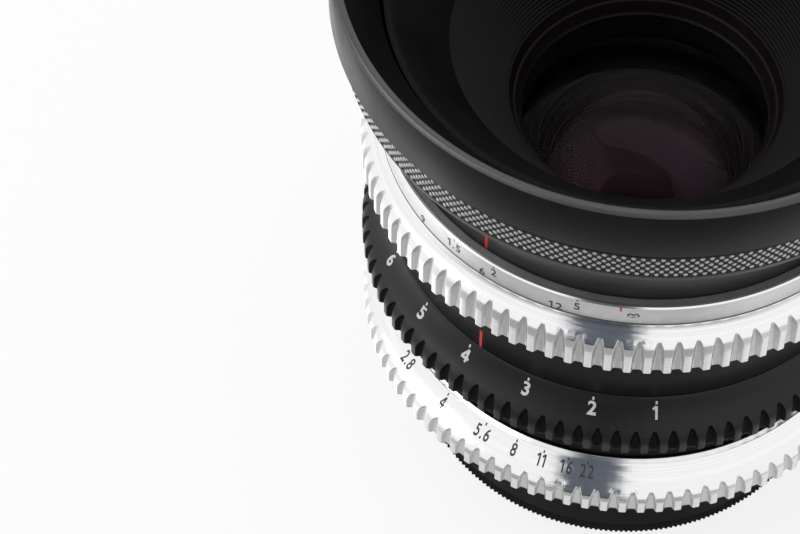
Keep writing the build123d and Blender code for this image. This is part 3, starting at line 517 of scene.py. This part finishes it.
class GearProfile:
    def __init__(self, settings):
        self.tip, self.foot = nodeSpan(settings["node"])[:2]
        self.bandTop = self.foot + settings["band"]
        self.slotTop = self.foot + settings["slotHeight"]
        self.root = self.tip - gearForm["depth"]
        self.crown = [(radius, self.foot + height) for radius, height in settings["crown"]]
        steps = gearForm["curveSteps"]
        shoulder, ahead = tangentArc((self.tip, self.bandTop), (0, 1), (self.root, self.slotTop), steps)
        flare = tangentArc((self.root, self.slotTop), ahead, self.crown[0], steps)[0]
        self.curve = [(self.tip, self.bandTop)] + shoulder + flare
        self.known = {}

    def radiusAt(self, height):
        key = round(height, 4)
        if key not in self.known:
            self.known[key] = self.curve[-1][0]
            for lower, upper in zip(self.curve, self.curve[1:]):
                if height <= upper[1]:
                    share = max(0.0, (height - lower[1]) / (upper[1] - lower[1]))
                    self.known[key] = lower[0] + (upper[0] - lower[0]) * share
                    break
        return self.known[key]

    def slotDepth(self, offset, height):
        # The floor gets deeper towards the top, and rounded edges lead from the flanks to the tooth tips
        floorHalf, mouthHalf, soft = gearForm["floor"] / 2, gearForm["mouth"] / 2, gearForm["edgeRound"]
        lean = (height - self.foot) / (self.slotTop - self.foot)
        floorDepth = gearForm["footDepth"] + (gearForm["depth"] - gearForm["footDepth"]) * lean
        slope = gearForm["depth"] / (mouthHalf - floorHalf)
        if abs(offset) > mouthHalf - soft:
            rest = max(0.0, mouthHalf + soft - abs(offset)) / (2 * soft)
            return slope * soft * rest * rest
        return min(floorDepth, slope * (mouthHalf - abs(offset)))

    def slotEnd(self, offset):
        # The height at which the slot's floor runs out of the curve
        low, high = self.bandTop, self.crown[0][1]
        for step in range(gearForm["endSteps"]):
            middle = (low + high) / 2
            if self.radiusAt(middle) > self.tip - self.slotDepth(offset, middle):
                low = middle
            else:
                high = middle
        return low


def gearColumns(profile):
    # Over one pitch: each column's place, its distance from the slot's middle, and where its slot ends
    pitch = math.tau / gearForm["teeth"] * profile.tip
    floorHalf, mouthHalf, soft = gearForm["floor"] / 2, gearForm["mouth"] / 2, gearForm["edgeRound"]
    cornerHalf = mouthHalf - (mouthHalf - floorHalf) * gearForm["footDepth"] / gearForm["depth"]
    half = [0, floorHalf * 0.6, floorHalf, (floorHalf + cornerHalf) / 2, cornerHalf,
            (cornerHalf + mouthHalf) / 2, mouthHalf - soft, mouthHalf, mouthHalf + soft]
    places = half + [pitch / 2] + [pitch - place for place in half[:0:-1]]
    offsets = [min(place, pitch - place) for place in places]
    ends = [profile.slotEnd(offset) if offset < mouthHalf + soft else profile.bandTop for offset in offsets]
    return places, offsets, ends


def gearOutline(profile, settings):
    footBreak = gearForm["footBreak"]
    outline = [(settings["bore"], profile.foot), (profile.root - gearForm["footLand"], profile.foot),
               (profile.tip - footBreak, profile.foot), (profile.tip, profile.foot + footBreak)]
    for step in range(1, gearForm["bandSteps"] + 1):
        share = step / gearForm["bandSteps"]
        outline.append((profile.tip, profile.foot + footBreak + (settings["band"] - footBreak) * share))
    for start, end, count in ((profile.bandTop, profile.slotTop, gearForm["shoulderSteps"]),
                              (profile.slotTop, profile.crown[0][1], gearForm["flareSteps"])):
        for step in range(1, count + 1):
            height = start + (end - start) * step / count
            outline.append((profile.radiusAt(height), height))
    return outline + profile.crown[1:]


def sinkSlots(shape, profile, settings, places, offsets, ends):
    # Moves the evenly spun columns to their places, and sinks those that lie in a slot
    teeth, columns = gearForm["teeth"], len(places)
    turn = math.tau / teeth
    slotHalf = gearForm["mouth"] / 2 + gearForm["edgeRound"]
    firstAngle = math.radians(settings["firstSlot"] - 90)
    crownRadius, crownFoot = profile.crown[0]
    inSlot = set()
    for vert in shape.verts:
        radius = math.hypot(vert.co.x, vert.co.y) / mm
        height = vert.co.z / mm
        column = round(math.atan2(vert.co.y, vert.co.x) % math.tau / (turn / columns)) % (teeth * columns)
        tooth, step = divmod(column, columns)
        angle = tooth * turn + places[step] / profile.tip + firstAngle
        if offsets[step] < slotHalf:
            if radius > profile.root - gearForm["outerWall"] and height < profile.bandTop + hair:
                share = (height - profile.foot) / (profile.bandTop - profile.foot)
                height = profile.foot + (ends[step] - profile.foot) * share
                radius -= profile.slotDepth(offsets[step], height)
                inSlot.add(vert.index)
            elif profile.bandTop < height < crownFoot - hair and radius > crownRadius - hair:
                share = (height - profile.bandTop) / (crownFoot - profile.bandTop)
                height = ends[step] + (crownFoot - ends[step]) * share
                radius = profile.radiusAt(height)
        vert.co = (radius * mm * math.cos(angle), radius * mm * math.sin(angle), height * mm)
    return inSlot


def paintGear(shape, profile, settings, inSlot):
    # Material 1 in the slots, 2 on the facet with the scale, 3 in the groove under it, where dark grey metal
    # is painted shade
    crownRadius, crownFoot = profile.crown[0]
    facetLow, facetHigh = (profile.foot + height for height in settings["facet"])
    for face in shape.faces:
        if all(vert.index in inSlot for vert in face.verts):
            face.material_index = 1
            continue
        middle = face.calc_center_median() / mm
        if facetLow == facetHigh or middle.z > facetHigh:
            continue
        if math.hypot(middle.x, middle.y) > crownRadius - gearForm["facetWall"]:
            if middle.z > facetLow:
                face.material_index = 2
            elif middle.z > crownFoot:
                face.material_index = 3


def makeGearRing(name, settings):
    profile = GearProfile(settings)
    places, offsets, ends = gearColumns(profile)
    columns = len(places)
    shape = spinOutline(gearOutline(profile, settings), gearForm["teeth"] * columns, sectorSteps=columns)
    inSlot = sinkSlots(shape, profile, settings, places, offsets, ends)
    paintGear(shape, profile, settings, inSlot)
    showPiece(name, shape, settings["body"], settings["finish"], [settings["node"]],
              sharp=gearForm["sharp"])


# Plain index rings between the gear rings
indexRing = {"bore": 31.05, "softness": 0.1, "steps": 288}


def makeIndexRing(name, node):
    radius, foot, top = nodeSpan(node)
    bore = indexRing["bore"]
    outline = [(bore, foot), (radius, foot), (radius, top), (bore, top)]
    shape = spinOutline(outline, indexRing["steps"], indexRing["softness"])
    showPiece(name, shape, "barrel", "satinBlack", [node])


# Rear barrel and the finely ribbed ring under it
rearBarrel = {"throat": 22.6, "wall": 30.2, "wallHeight": 6.0, "flare": 4.8, "head": 33.0, "seat": 31.05,
              "bore": 28.0, "floor": 2.8, "softness": 0.1, "steps": 288}


def makeRearBarrel():
    radius, foot, top = nodeSpan("rear_barrel")
    p = rearBarrel
    shoulder = foot + p["wallHeight"]
    flareTop = shoulder + p["flare"]
    outline = [
        (p["throat"], foot), (p["wall"], foot), (p["wall"], shoulder), (p["head"], flareTop),
        (p["head"], top), (p["seat"], top), (p["seat"], flareTop), (p["bore"], flareTop),
        (p["bore"], foot + p["floor"]), (p["throat"], foot + p["floor"]),
    ]
    shape = spinOutline(outline, p["steps"], p["softness"])
    showPiece("rearBarrel", shape, "barrel", "satinBlack", ["rear_barrel"])


ribs = {"count": 260, "columnsPerRib": 4, "depth": 0.22, "wall": 1.55, "edge": 0.2}


def makeRibbedRing():
    radius, foot, top = nodeSpan("rear_grip_ring")
    p = ribs
    bore = radius - p["wall"]
    outline = [(bore, foot), (radius - p["edge"], foot), (radius, foot + p["edge"]),
               (radius, top - p["edge"]), (radius - p["edge"], top), (bore, top)]
    columns = p["count"] * p["columnsPerRib"]
    shape = spinOutline(outline, columns)
    for vert in shape.verts:
        reach = math.hypot(vert.co.x, vert.co.y) / mm
        if reach < radius - p["edge"] - hair:
            continue
        column = round(math.atan2(vert.co.y, vert.co.x) % math.tau / math.tau * columns)
        if column % p["columnsPerRib"] >= p["columnsPerRib"] // 2:
            shrink = 1 - p["depth"] / reach
            vert.co.x *= shrink
            vert.co.y *= shrink
    showPiece("ribbedRing", shape, "barrel", "satinBlack", ["rear_grip_ring"], sharp=25)


# Hood, ridged conical baffle and bezel in front of the glass
hood = {"tubeBore": 26.4, "tube": 27.7, "shoulder": 17.7, "rimWidth": 0.8, "edge": 1.3, "lip": 26.3,
        "lipRise": 18.5, "lipHeight": 0.4, "shallowSteps": (33.0, 32.8, 31.0, 30.8), "softness": 0.05,
        "steps": 320}


def makeHood():
    radius, foot, top = nodeSpan("front_hood")
    p = hood
    lip = foot + p["lipRise"]
    mouth = radius - p["rimWidth"]
    slope = (top - lip) / (mouth - p["lip"])
    outline = [(p["tubeBore"], foot), (p["tube"], foot), (p["tube"], foot + p["shoulder"]),
               (radius, top - p["edge"]), (radius, top), (mouth, top)]
    for step in p["shallowSteps"]:
        outline.append((step, lip + (step - p["lip"]) * slope))
    outline += [(p["lip"], lip), (p["lip"], lip - p["lipHeight"]), (p["tubeBore"], lip - p["lipHeight"])]
    shape = spinOutline(outline, p["steps"], p["softness"])
    showPiece("hood", shape, "block", "innerBlack", ["front_hood"])


baffle = {"ridges": 24, "mouth": 26.15, "throat": 18.6, "throatRise": 0.8, "ridgeDepth": 0.2,
          "ridgeRise": 0.12, "outer": 26.35, "seat": 21.6, "seatHeight": 2.4, "edge": 1.7,
          "collar": 19.8, "collarRise": 0.6, "steps": 256}


def makeBaffle():
    radius, foot, top = nodeSpan("conical_baffle")
    p = baffle
    throatFoot = foot + p["throatRise"]
    outline = [
        (p["collar"], foot + p["collarRise"]), (p["collar"], foot), (p["seat"], foot),
        (p["seat"], foot + p["seatHeight"]), (p["outer"], top - p["edge"]), (p["outer"], top),
        (p["mouth"], top),
    ]
    for ridge in range(p["ridges"]):
        upper = 1 - ridge / p["ridges"]
        lower = 1 - (ridge + 1) / p["ridges"]
        reach = p["throat"] + (p["mouth"] - p["throat"]) * upper
        under = p["throat"] + (p["mouth"] - p["throat"]) * lower
        height = throatFoot + (top - throatFoot) * lower
        outline.append((reach + p["ridgeDepth"], height + p["ridgeRise"]))
        outline.append((under, height))
    shape = spinOutline(outline, p["steps"])
    showPiece("baffle", shape, "block", "baffleBlack", ["conical_baffle"], sharp=20)


bezel = {"mouth": 18.2, "throat": 16.4, "rings": 2, "stepDepth": 0.35, "stepRise": 0.25, "treadRise": 0.2,
         "softness": 0.05, "steps": 256}


def makeBezel():
    radius, foot, top = nodeSpan("front_bezel")
    p = bezel
    outline = [(p["throat"], foot), (radius, foot), (radius, top), (p["mouth"], top)]
    for ring in range(1, p["rings"] + 1):
        share = ring / p["rings"]
        reach = p["mouth"] + (p["throat"] - p["mouth"]) * share
        height = top + (foot - top) * share
        outline.append((reach + p["stepDepth"], height + p["stepRise"]))
        if ring < p["rings"]:
            outline.append((reach, height + p["treadRise"]))
    shape = spinOutline(outline, p["steps"], p["softness"])
    showPiece("bezel", shape, "block", "bezelRedReflection", ["front_bezel"])


# Glasses: rim radius, foot and height of the edge, and the radii of the upper and lower curve
glasses = {
    "frontGlass": {"node": "front_glass", "body": "block", "rim": 18.0, "foot": 55.2, "edge": 4.8,
                   "curves": (62.0, 34.0), "finish": "frontCoating"},
    "innerGlass": {"node": "inner_glass", "body": "block", "rim": 15.2, "foot": 49.2, "edge": 2.4,
                   "curves": (36.0, 80.0), "finish": "innerCoating"},
    "tuneGlass": {"node": "tune_glass", "body": "tune_group", "rim": 13.2, "foot": 42.6, "edge": 2.6,
                  "curves": (48.0, -48.0), "finish": "innerCoating"},
}
glassSteps = {"across": 24, "round": 192}


def sagitta(curve, radius):
    return curve - math.copysign(math.sqrt(curve * curve - radius * radius), curve)


def makeGlass(name, settings):
    rim, foot = settings["rim"], settings["foot"]
    head = foot + settings["edge"]
    steps = glassSteps["across"]
    outline = []
    for curve, base, order in ((settings["curves"][0], head, range(steps + 1)),
                               (settings["curves"][1], foot, range(steps, -1, -1))):
        for step in order:
            radius = rim * step / steps
            outline.append((radius, base + sagitta(curve, rim) - sagitta(curve, radius)))
    shape = spinOutline(outline, glassSteps["round"], closed=False)
    showPiece(name, shape, settings["body"], settings["finish"], [settings["node"]])


for name, settings in gearRings.items():
    makeGearRing(name, settings)
print("gear rings cut")
makeFrontRing()
makeKnurledRing()
makeNeck()
makeCollar()
makeIndexRing("tuneIndexRing", "tune_index_ring")
makeIndexRing("irisIndexRing", "iris_index_ring")
makeRearBarrel()
makeRibbedRing()
print("outer rings turned")
makeHood()
makeBaffle()
makeBezel()
for name, settings in glasses.items():
    makeGlass(name, settings)
print("hood, baffle and glasses turned")


# Scales: numbers and lines laid on the turned walls, each a thin closed slab.
# A number has its degrees from -Y and its height, and a line its degrees, lower end, upper end and width
scales = {
    "focusScale": {
        "ring": "focusGearRing", "body": "focus", "finish": "greyPaint", "slot": "polished_aluminium",
        "size": 2.0, "squeeze": 0.92, "bold": 0.03,
        "numbers": [("9", -49.2, 62.6), ("1.5", -38.9, 63.6), ("6", -31.2, 62.55), ("2", -28.3, 63.75),
                    ("12", -13.9, 62.55), ("5", -9.5, 63.65), ("∞", 2.15, 63.6)],
        "lines": [(angle, 64.75, 65.08, 0.2) for angle in (-38.9, -28.3, -9.5)],
    },
    "tuneScale": {
        "ring": "tuneGearRing", "body": "tune", "finish": "whitePaint", "slot": "black_anodised",
        "size": 2.35, "squeeze": 1.05, "bold": 0.065,
        "numbers": [("6", -65.8, 40.35), ("5", -49.9, 40.4), ("4", -35.1, 40.45), ("3", -19.5, 40.55),
                    ("2", -4.5, 40.55), ("1", 9.4, 40.5)],
        "lines": [(angle, 41.6, 42.05, 0.26) for angle in (-65.8, -49.9, -35.1, -19.5, -4.5, 9.4)],
    },
    "irisScale": {
        "ring": "irisGearRing", "body": "iris", "finish": "greyPaint", "slot": "polished_aluminium",
        "size": 1.9, "squeeze": 0.92, "bold": 0.035,
        "numbers": [("2.8", -55.6, 24.2), ("4", -41.7, 24.25), ("5.6", -29.8, 24.3), ("8", -21.5, 24.3),
                    ("11", -14.7, 24.35), ("16", -8.9, 24.4), ("22", -4.3, 24.4)],
        "lines": [(angle, 25.1, 25.45, 0.2) for angle in (-55.6, -41.7, -29.8, -21.5, -14.7, -8.9, -4.3)],
    },
}
slab = {"thickness": 0.04, "proud": 0.015, "rowCut": 0.3, "columnCut": 0.8, "sharp": 50}


def wrapSlab(shape, angle, height, profile):
    # Cuts a flat slab into rows and columns and bends it on the wall whose radius profile gives
    for direction, cut in (((0, 1, 0), slab["rowCut"]), ((1, 0, 0), slab["columnCut"])):
        way = Vector(direction)
        reach = max(abs(vert.co.dot(way)) for vert in shape.verts) / mm
        steps = int(reach / cut)
        for step in range(-steps, steps + 1):
            geometry = list(shape.verts) + list(shape.edges) + list(shape.faces)
            bmesh.ops.bisect_plane(shape, geom=geometry, plane_co=way * step * cut * mm, plane_no=way,
                                   dist=1e-7)
    for vert in shape.verts:
        across, along, out = vert.co / mm
        level = height + along
        radius = profile(level)
        turn = math.radians(angle - 90) + across / radius
        radius += slab["proud"] + out - slab["thickness"] / 2
        vert.co = (radius * mm * math.cos(turn), radius * mm * math.sin(turn), level * mm)


def lineShape(width, length):
    shape = bmesh.new()
    bmesh.ops.create_cube(shape, size=1.0)
    bmesh.ops.scale(shape, vec=(width * mm, length * mm, slab["thickness"] * mm), verts=list(shape.verts))
    return shape


def strokeShape(width, length, degrees, place):
    shape = lineShape(width, length)
    turn = Matrix.Rotation(math.radians(degrees), 3, "Z")
    bmesh.ops.rotate(shape, cent=(0, 0, 0), matrix=turn, verts=list(shape.verts))
    bmesh.ops.translate(shape, vec=(place[0] * mm, place[1] * mm, 0), verts=list(shape.verts))
    return shape


def joinShapes(shapes):
    whole = bmesh.new()
    for shape in shapes:
        mesh = bpy.data.meshes.new("part")
        shape.to_mesh(mesh)
        shape.free()
        whole.from_mesh(mesh)
        bpy.data.meshes.remove(mesh)
    return whole


def glyphShape(text, settings):
    curve = bpy.data.curves.new("number", "FONT")
    curve.body = text
    curve.size = settings["size"] * mm
    curve.align_x = "CENTER"
    curve.align_y = "CENTER"
    curve.offset = settings["bold"] * mm
    curve.extrude = slab["thickness"] / 2 * mm
    curve.resolution_u = 5
    holder = bpy.data.objects.new("number", curve)
    bpy.context.scene.collection.objects.link(holder)
    view = bpy.context.evaluated_depsgraph_get()
    mesh = bpy.data.meshes.new_from_object(holder.evaluated_get(view))
    shape = bmesh.new()
    shape.from_mesh(mesh)
    bpy.data.objects.remove(holder)
    bpy.data.meshes.remove(mesh)
    bmesh.ops.remove_doubles(shape, verts=list(shape.verts), dist=0.001 * mm)
    bmesh.ops.scale(shape, vec=(settings["squeeze"], 1, 1), verts=list(shape.verts))
    middle = [(min(vert.co[way] for vert in shape.verts) + max(vert.co[way] for vert in shape.verts)) / 2
              for way in (0, 1)]
    bmesh.ops.translate(shape, vec=(-middle[0], -middle[1], 0), verts=list(shape.verts))
    return shape


# The digits 1 and 4 are drawn in strokes. Lengths are shares of the digit's height or half width
digitForm = {"tall": 0.70, "stroke": 0.085, "half": 0.36}
oneForm = {"flagLength": 0.36, "flagTurn": -48, "flagPlace": (-0.145, 0.365)}
fourForm = {"stemPlace": 0.35, "barDrop": 0.22, "slantRise": 0.70, "slantRun": 1.30,
            "slantPlace": (-0.30, 0.13)}


def digitSizes(settings):
    tall = settings["size"] * digitForm["tall"]
    wide = settings["size"] * digitForm["stroke"] + 2 * settings["bold"]
    return tall, wide, tall * digitForm["half"] * settings["squeeze"]


def oneShape(settings):
    # An upright stem with a slanted flag
    tall, wide = digitSizes(settings)[:2]
    across, up = oneForm["flagPlace"]
    flag = strokeShape(wide, tall * oneForm["flagLength"], oneForm["flagTurn"], (tall * across, tall * up))
    return joinShapes([lineShape(wide, tall), flag])


def fourShape(settings):
    # A stem, a bar across it and a slanted stroke from the stem's head
    tall, wide, half = digitSizes(settings)
    rise, run = tall * fourForm["slantRise"], half * fourForm["slantRun"]
    across, up = fourForm["slantPlace"]
    stem = strokeShape(wide, tall, 0, (half * fourForm["stemPlace"], 0))
    bar = strokeShape(2 * half, wide, 0, (0, -tall * fourForm["barDrop"]))
    slant = -math.degrees(math.atan2(run, rise))
    stroke = strokeShape(wide, math.hypot(rise, run), slant, (half * across, tall * up))
    return joinShapes([stem, bar, stroke])


ownDigits = {"1": oneShape, "4": fourShape}
letterWidths = {".": 0.30, "1": 0.44, "other": 0.62}
pointDrop = 0.29


def numberShape(text, settings):
    size = settings["size"]
    widths = [size * settings["squeeze"] * letterWidths.get(letter, letterWidths["other"]) for letter in text]
    start = -sum(widths) / 2
    shapes = []
    for letter, width in zip(text, widths):
        shape = ownDigits[letter](settings) if letter in ownDigits else glyphShape(letter, settings)
        drop = -pointDrop * size if letter == "." else 0
        bmesh.ops.translate(shape, vec=((start + width / 2) * mm, drop * mm, 0), verts=list(shape.verts))
        start += width
        shapes.append(shape)
    return joinShapes(shapes)


def wallRadius(ring):
    profile = GearProfile(gearRings[ring])
    crownRadius, crownFoot = profile.crown[0]

    def radiusAt(height):
        return profile.radiusAt(height) if height <= crownFoot else crownRadius  # numbers bridge the groove

    return radiusAt


def makeScale(name, settings):
    profile = wallRadius(settings["ring"])
    shapes = []
    for text, angle, height in settings["numbers"]:
        shape = numberShape(text, settings)
        wrapSlab(shape, angle, height, profile)
        shapes.append(shape)
    for angle, low, high, width in settings["lines"]:
        shape = lineShape(width, high - low)
        wrapSlab(shape, angle, (low + high) / 2, profile)
        shapes.append(shape)
    showPiece(name, joinShapes(shapes), settings["body"], settings["finish"],
              sharp=slab["sharp"])


# Red marks: up the neck and on the tune index ring, and one on the focus scale
marks = {"angle": -32.5, "width": 0.42, "neck": (65.05, 67.6), "index": (42.95, 46.6),
         "focusAngle": -0.5, "focusWidth": 0.3, "focus": (64.3, 65.1)}


def markShape(width, angle, span, profile):
    low, high = span
    shape = lineShape(width, high - low)
    wrapSlab(shape, angle, (low + high) / 2, profile)
    return shape


def makeMarks():
    indexWall = nodeSpan("tune_index_ring")[0]
    fixed = [markShape(marks["width"], marks["angle"], marks["neck"], lambda height: neck["wall"]),
             markShape(marks["width"], marks["angle"], marks["index"], lambda height: indexWall)]
    showPiece("indexMarks", joinShapes(fixed), "barrel", "redPaint", sharp=slab["sharp"])
    turning = markShape(marks["focusWidth"], marks["focusAngle"], marks["focus"], wallRadius("focusGearRing"))
    showPiece("focusMark", turning, "focus", "redPaint", sharp=slab["sharp"])


for name, settings in scales.items():
    makeScale(name, settings)
makeMarks()
print("scales laid on")

# Carried-over pieces get their finish by their material slot
slotFinishes = {
    "black_anodised": "satinBlack", "polished_aluminium": "polishedMetal",
    "plain_aluminium": "plainAluminium", "matt_black_aluminium": "innerBlack", "mount_steel": "mountSteel",
    "fastener_steel": "screwSteel", "bearing_brass": "brass", "blade_steel": "bladeSteel",
    "coated_glass": "innerCoating",
}
nodeSlots = {entry["node"]: entry["material_slot"] for entry in frame["record"]["subparts"]}
blackenedCells = ("inner_cell", "tune_cell")  # seen through the front glass
for node, piece in frame["nodes"].items():
    finish = finishes["innerBlack" if node in blackenedCells else slotFinishes[nodeSlots[node]]]
    piece.data.materials.clear()
    piece.data.materials.append(finish)
print("frame nodes finished", len(nodeSlots))

# Floor and soft light. Glossy rays see a painted reflection on the floor: a painted shadow round the foot, a
# dark band in front, a grey middle distance and a painted highlight at the left.
# Spans are in degrees from -Y with their softness, and fades are distances from the axis in metres
studio = {
    "floorSize": 3.0, "floorColour": (0.92, 0.92, 0.92), "glow": 0.82, "skyLevel": 0.72,
    "wedge": (-52.0, 34.0, 12.0), "frontFade": (0.076, 0.098), "frontFloor": 0.72, "darkFloor": 0.28,
    "sideFade": (0.09, 0.2), "nearFloor": 0.85, "farFloor": 0.6, "leftEdge": (-70, -50), "leftPaintedHighlight": 1.7,
    "footShadowFade": (0.038, 0.047), "footShadowLevel": 0.2,
    "paintedDarkBand": (-18.0, 6.0, 3.0), "paintedDarkBandColour": (0.10, 0.115, 0.14), "raggedScale": 9, "raggedness": 3,
    "horizon": (-60.0, 50.0, 15.0), "horizonRise": (0.02, 0.2), "paintedHorizonLevel": 0.45,
    "lampPower": 2.5, "lampSize": (0.5, 0.7), "lampPlace": (-0.5, -0.1, 0.6), "lampAim": (0, 0, 0.05),
}


def azimuthOf(tree, place):
    turn = addNode(tree, "ShaderNodeMath", operation="ARCTAN2")
    tree.links.new(place["X"], turn.inputs[0])
    tree.links.new(addMath(tree, "MULTIPLY", place["Y"], -1.0), turn.inputs[1])
    return addMath(tree, "MULTIPLY", turn.outputs[0], math.degrees(1))


def inSpan(tree, azimuth, span):
    low, high, soft = span
    rising = addRange(tree, azimuth, low - soft, low + soft, 0, 1)
    falling = addRange(tree, azimuth, high - soft, high + soft, 1, 0)
    return addMath(tree, "MULTIPLY", rising, falling)


def seenRays(tree):
    path = addNode(tree, "ShaderNodeLightPath")
    glossy = path.outputs["Is Glossy Ray"]
    seen = addMath(tree, "MAXIMUM", glossy, path.outputs["Is Transmission Ray"])
    return addMath(tree, "MAXIMUM", path.outputs["Is Camera Ray"], seen), glossy


def paintedFloorReflection(tree):
    # How bright each place on the floor looks in the gloss of the rings, painted by place: a painted shadow
    # round the foot, a dark band in front, grey further out and a painted highlight at the left
    point = objectPoint(tree)
    azimuth = azimuthOf(tree, splitPoint(tree, point))
    distance = addNode(tree, "ShaderNodeVectorMath", operation="LENGTH")
    tree.links.new(point, distance.inputs[0])
    reach = distance.outputs["Value"]
    side = addRange(tree, reach, *studio["sideFade"], studio["nearFloor"], studio["farFloor"])
    # painted highlight: the floor to the left glows brighter than white, in reflections only
    left = addRange(tree, azimuth, *studio["leftEdge"], studio["leftPaintedHighlight"], 1.0)
    side = addMath(tree, "MULTIPLY", side, left)
    front = addRange(tree, reach, *studio["frontFade"], studio["frontFloor"], studio["darkFloor"])
    wedge = inSpan(tree, azimuth, studio["wedge"])
    level = addWeighted(tree, front, wedge, side, addMath(tree, "SUBTRACT", 1.0, wedge))
    # painted shadow round the foot of the lens, seen in reflections only
    foot = addRange(tree, reach, *studio["footShadowFade"], studio["footShadowLevel"], 1.0)
    return addMath(tree, "MULTIPLY", level, foot)


def makeFloor():
    floorShape = bmesh.new()
    bmesh.ops.create_grid(floorShape, x_segments=1, y_segments=1, size=studio["floorSize"])
    bmesh.ops.translate(floorShape, vec=(0, 0, cadBox[0][2]), verts=list(floorShape.verts))
    mesh = bpy.data.meshes.new("floor")
    floorShape.to_mesh(mesh)
    floorShape.free()
    floor = bpy.data.objects.new("floor", mesh)
    bpy.context.scene.collection.objects.link(floor)
    material, tree, shader = newMaterial("floorWhite")
    shader.inputs["Base Color"].default_value = (*studio["floorColour"], 1)
    shader.inputs["Roughness"].default_value = 0.6
    shader.inputs["Specular IOR Level"].default_value = 0.1
    seen, glossy = seenRays(tree)
    glow = addNode(tree, "ShaderNodeEmission")
    glow.inputs["Color"].default_value = (1, 1, 1, 1)
    strength = addMath(tree, "ADD", addMath(tree, "MULTIPLY", glossy, paintedFloorReflection(tree)),
                       addMath(tree, "SUBTRACT", 1.0, glossy))
    tree.links.new(strength, glow.inputs["Strength"])
    mix = addNode(tree, "ShaderNodeMixShader")
    tree.links.new(addMath(tree, "MULTIPLY", seen, studio["glow"]), mix.inputs[0])
    tree.links.new(shader.outputs[0], mix.inputs[1])
    tree.links.new(glow.outputs[0], mix.inputs[2])
    output = next(node for node in tree.nodes if node.bl_idname == "ShaderNodeOutputMaterial")
    tree.links.new(mix.outputs[0], output.inputs["Surface"])
    mesh.materials.append(material)


def makeSky():
    world = bpy.data.worlds.new("studio")
    world.use_nodes = True
    tree = world.node_tree
    tree.nodes.clear()
    output = tree.nodes.new("ShaderNodeOutputWorld")
    back = tree.nodes.new("ShaderNodeBackground")
    direction = addNode(tree, "ShaderNodeTexCoord").outputs["Generated"]
    place = splitPoint(tree, direction)
    ragged = addNoise(tree, direction, studio["raggedScale"], 3)
    ragged = addRange(tree, ragged, *noiseSpan, -studio["raggedness"], studio["raggedness"])
    azimuth = addMath(tree, "ADD", azimuthOf(tree, place), ragged)
    seen, glossy = seenRays(tree)
    # Glossy rays alone see a painted dark band in front: a painted reflection that nothing in the scene casts
    paintedDarkBand = addMath(tree, "MULTIPLY", inSpan(tree, azimuth, studio["paintedDarkBand"]), glossy)
    low = addMath(tree, "MULTIPLY", addRange(tree, place["Z"], *studio["horizonRise"], 1.0, 0.0), glossy)
    low = addMath(tree, "MULTIPLY", low, inSpan(tree, azimuth, studio["horizon"]))
    low = addRange(tree, low, 0, 1, 1.0, studio["paintedHorizonLevel"])  # painted grey reflection over the horizon in front, seen by glossy rays only
    tree.links.new(mixColours(tree, paintedDarkBand, (1, 1, 1), studio["paintedDarkBandColour"]), back.inputs["Color"])
    level = addRange(tree, seen, 0, 1, studio["skyLevel"], 1.0)
    tree.links.new(addMath(tree, "MULTIPLY", level, low), back.inputs["Strength"])
    tree.links.new(back.outputs[0], output.inputs["Surface"])
    bpy.context.scene.world = world


def makeLamp():
    lamp = bpy.data.lights.new("softBox", "AREA")
    lamp.shape = "RECTANGLE"
    lamp.size, lamp.size_y = studio["lampSize"]
    lamp.energy = studio["lampPower"]
    box = bpy.data.objects.new("softBox", lamp)
    place = Vector(studio["lampPlace"])
    box.location = place
    box.rotation_euler = (Vector(studio["lampAim"]) - place).to_track_quat("-Z", "Y").to_euler()
    bpy.context.scene.collection.objects.link(box)


makeFloor()
makeSky()
makeLamp()
bpy.context.scene.view_settings.view_transform = "Standard"
print("studio lit")
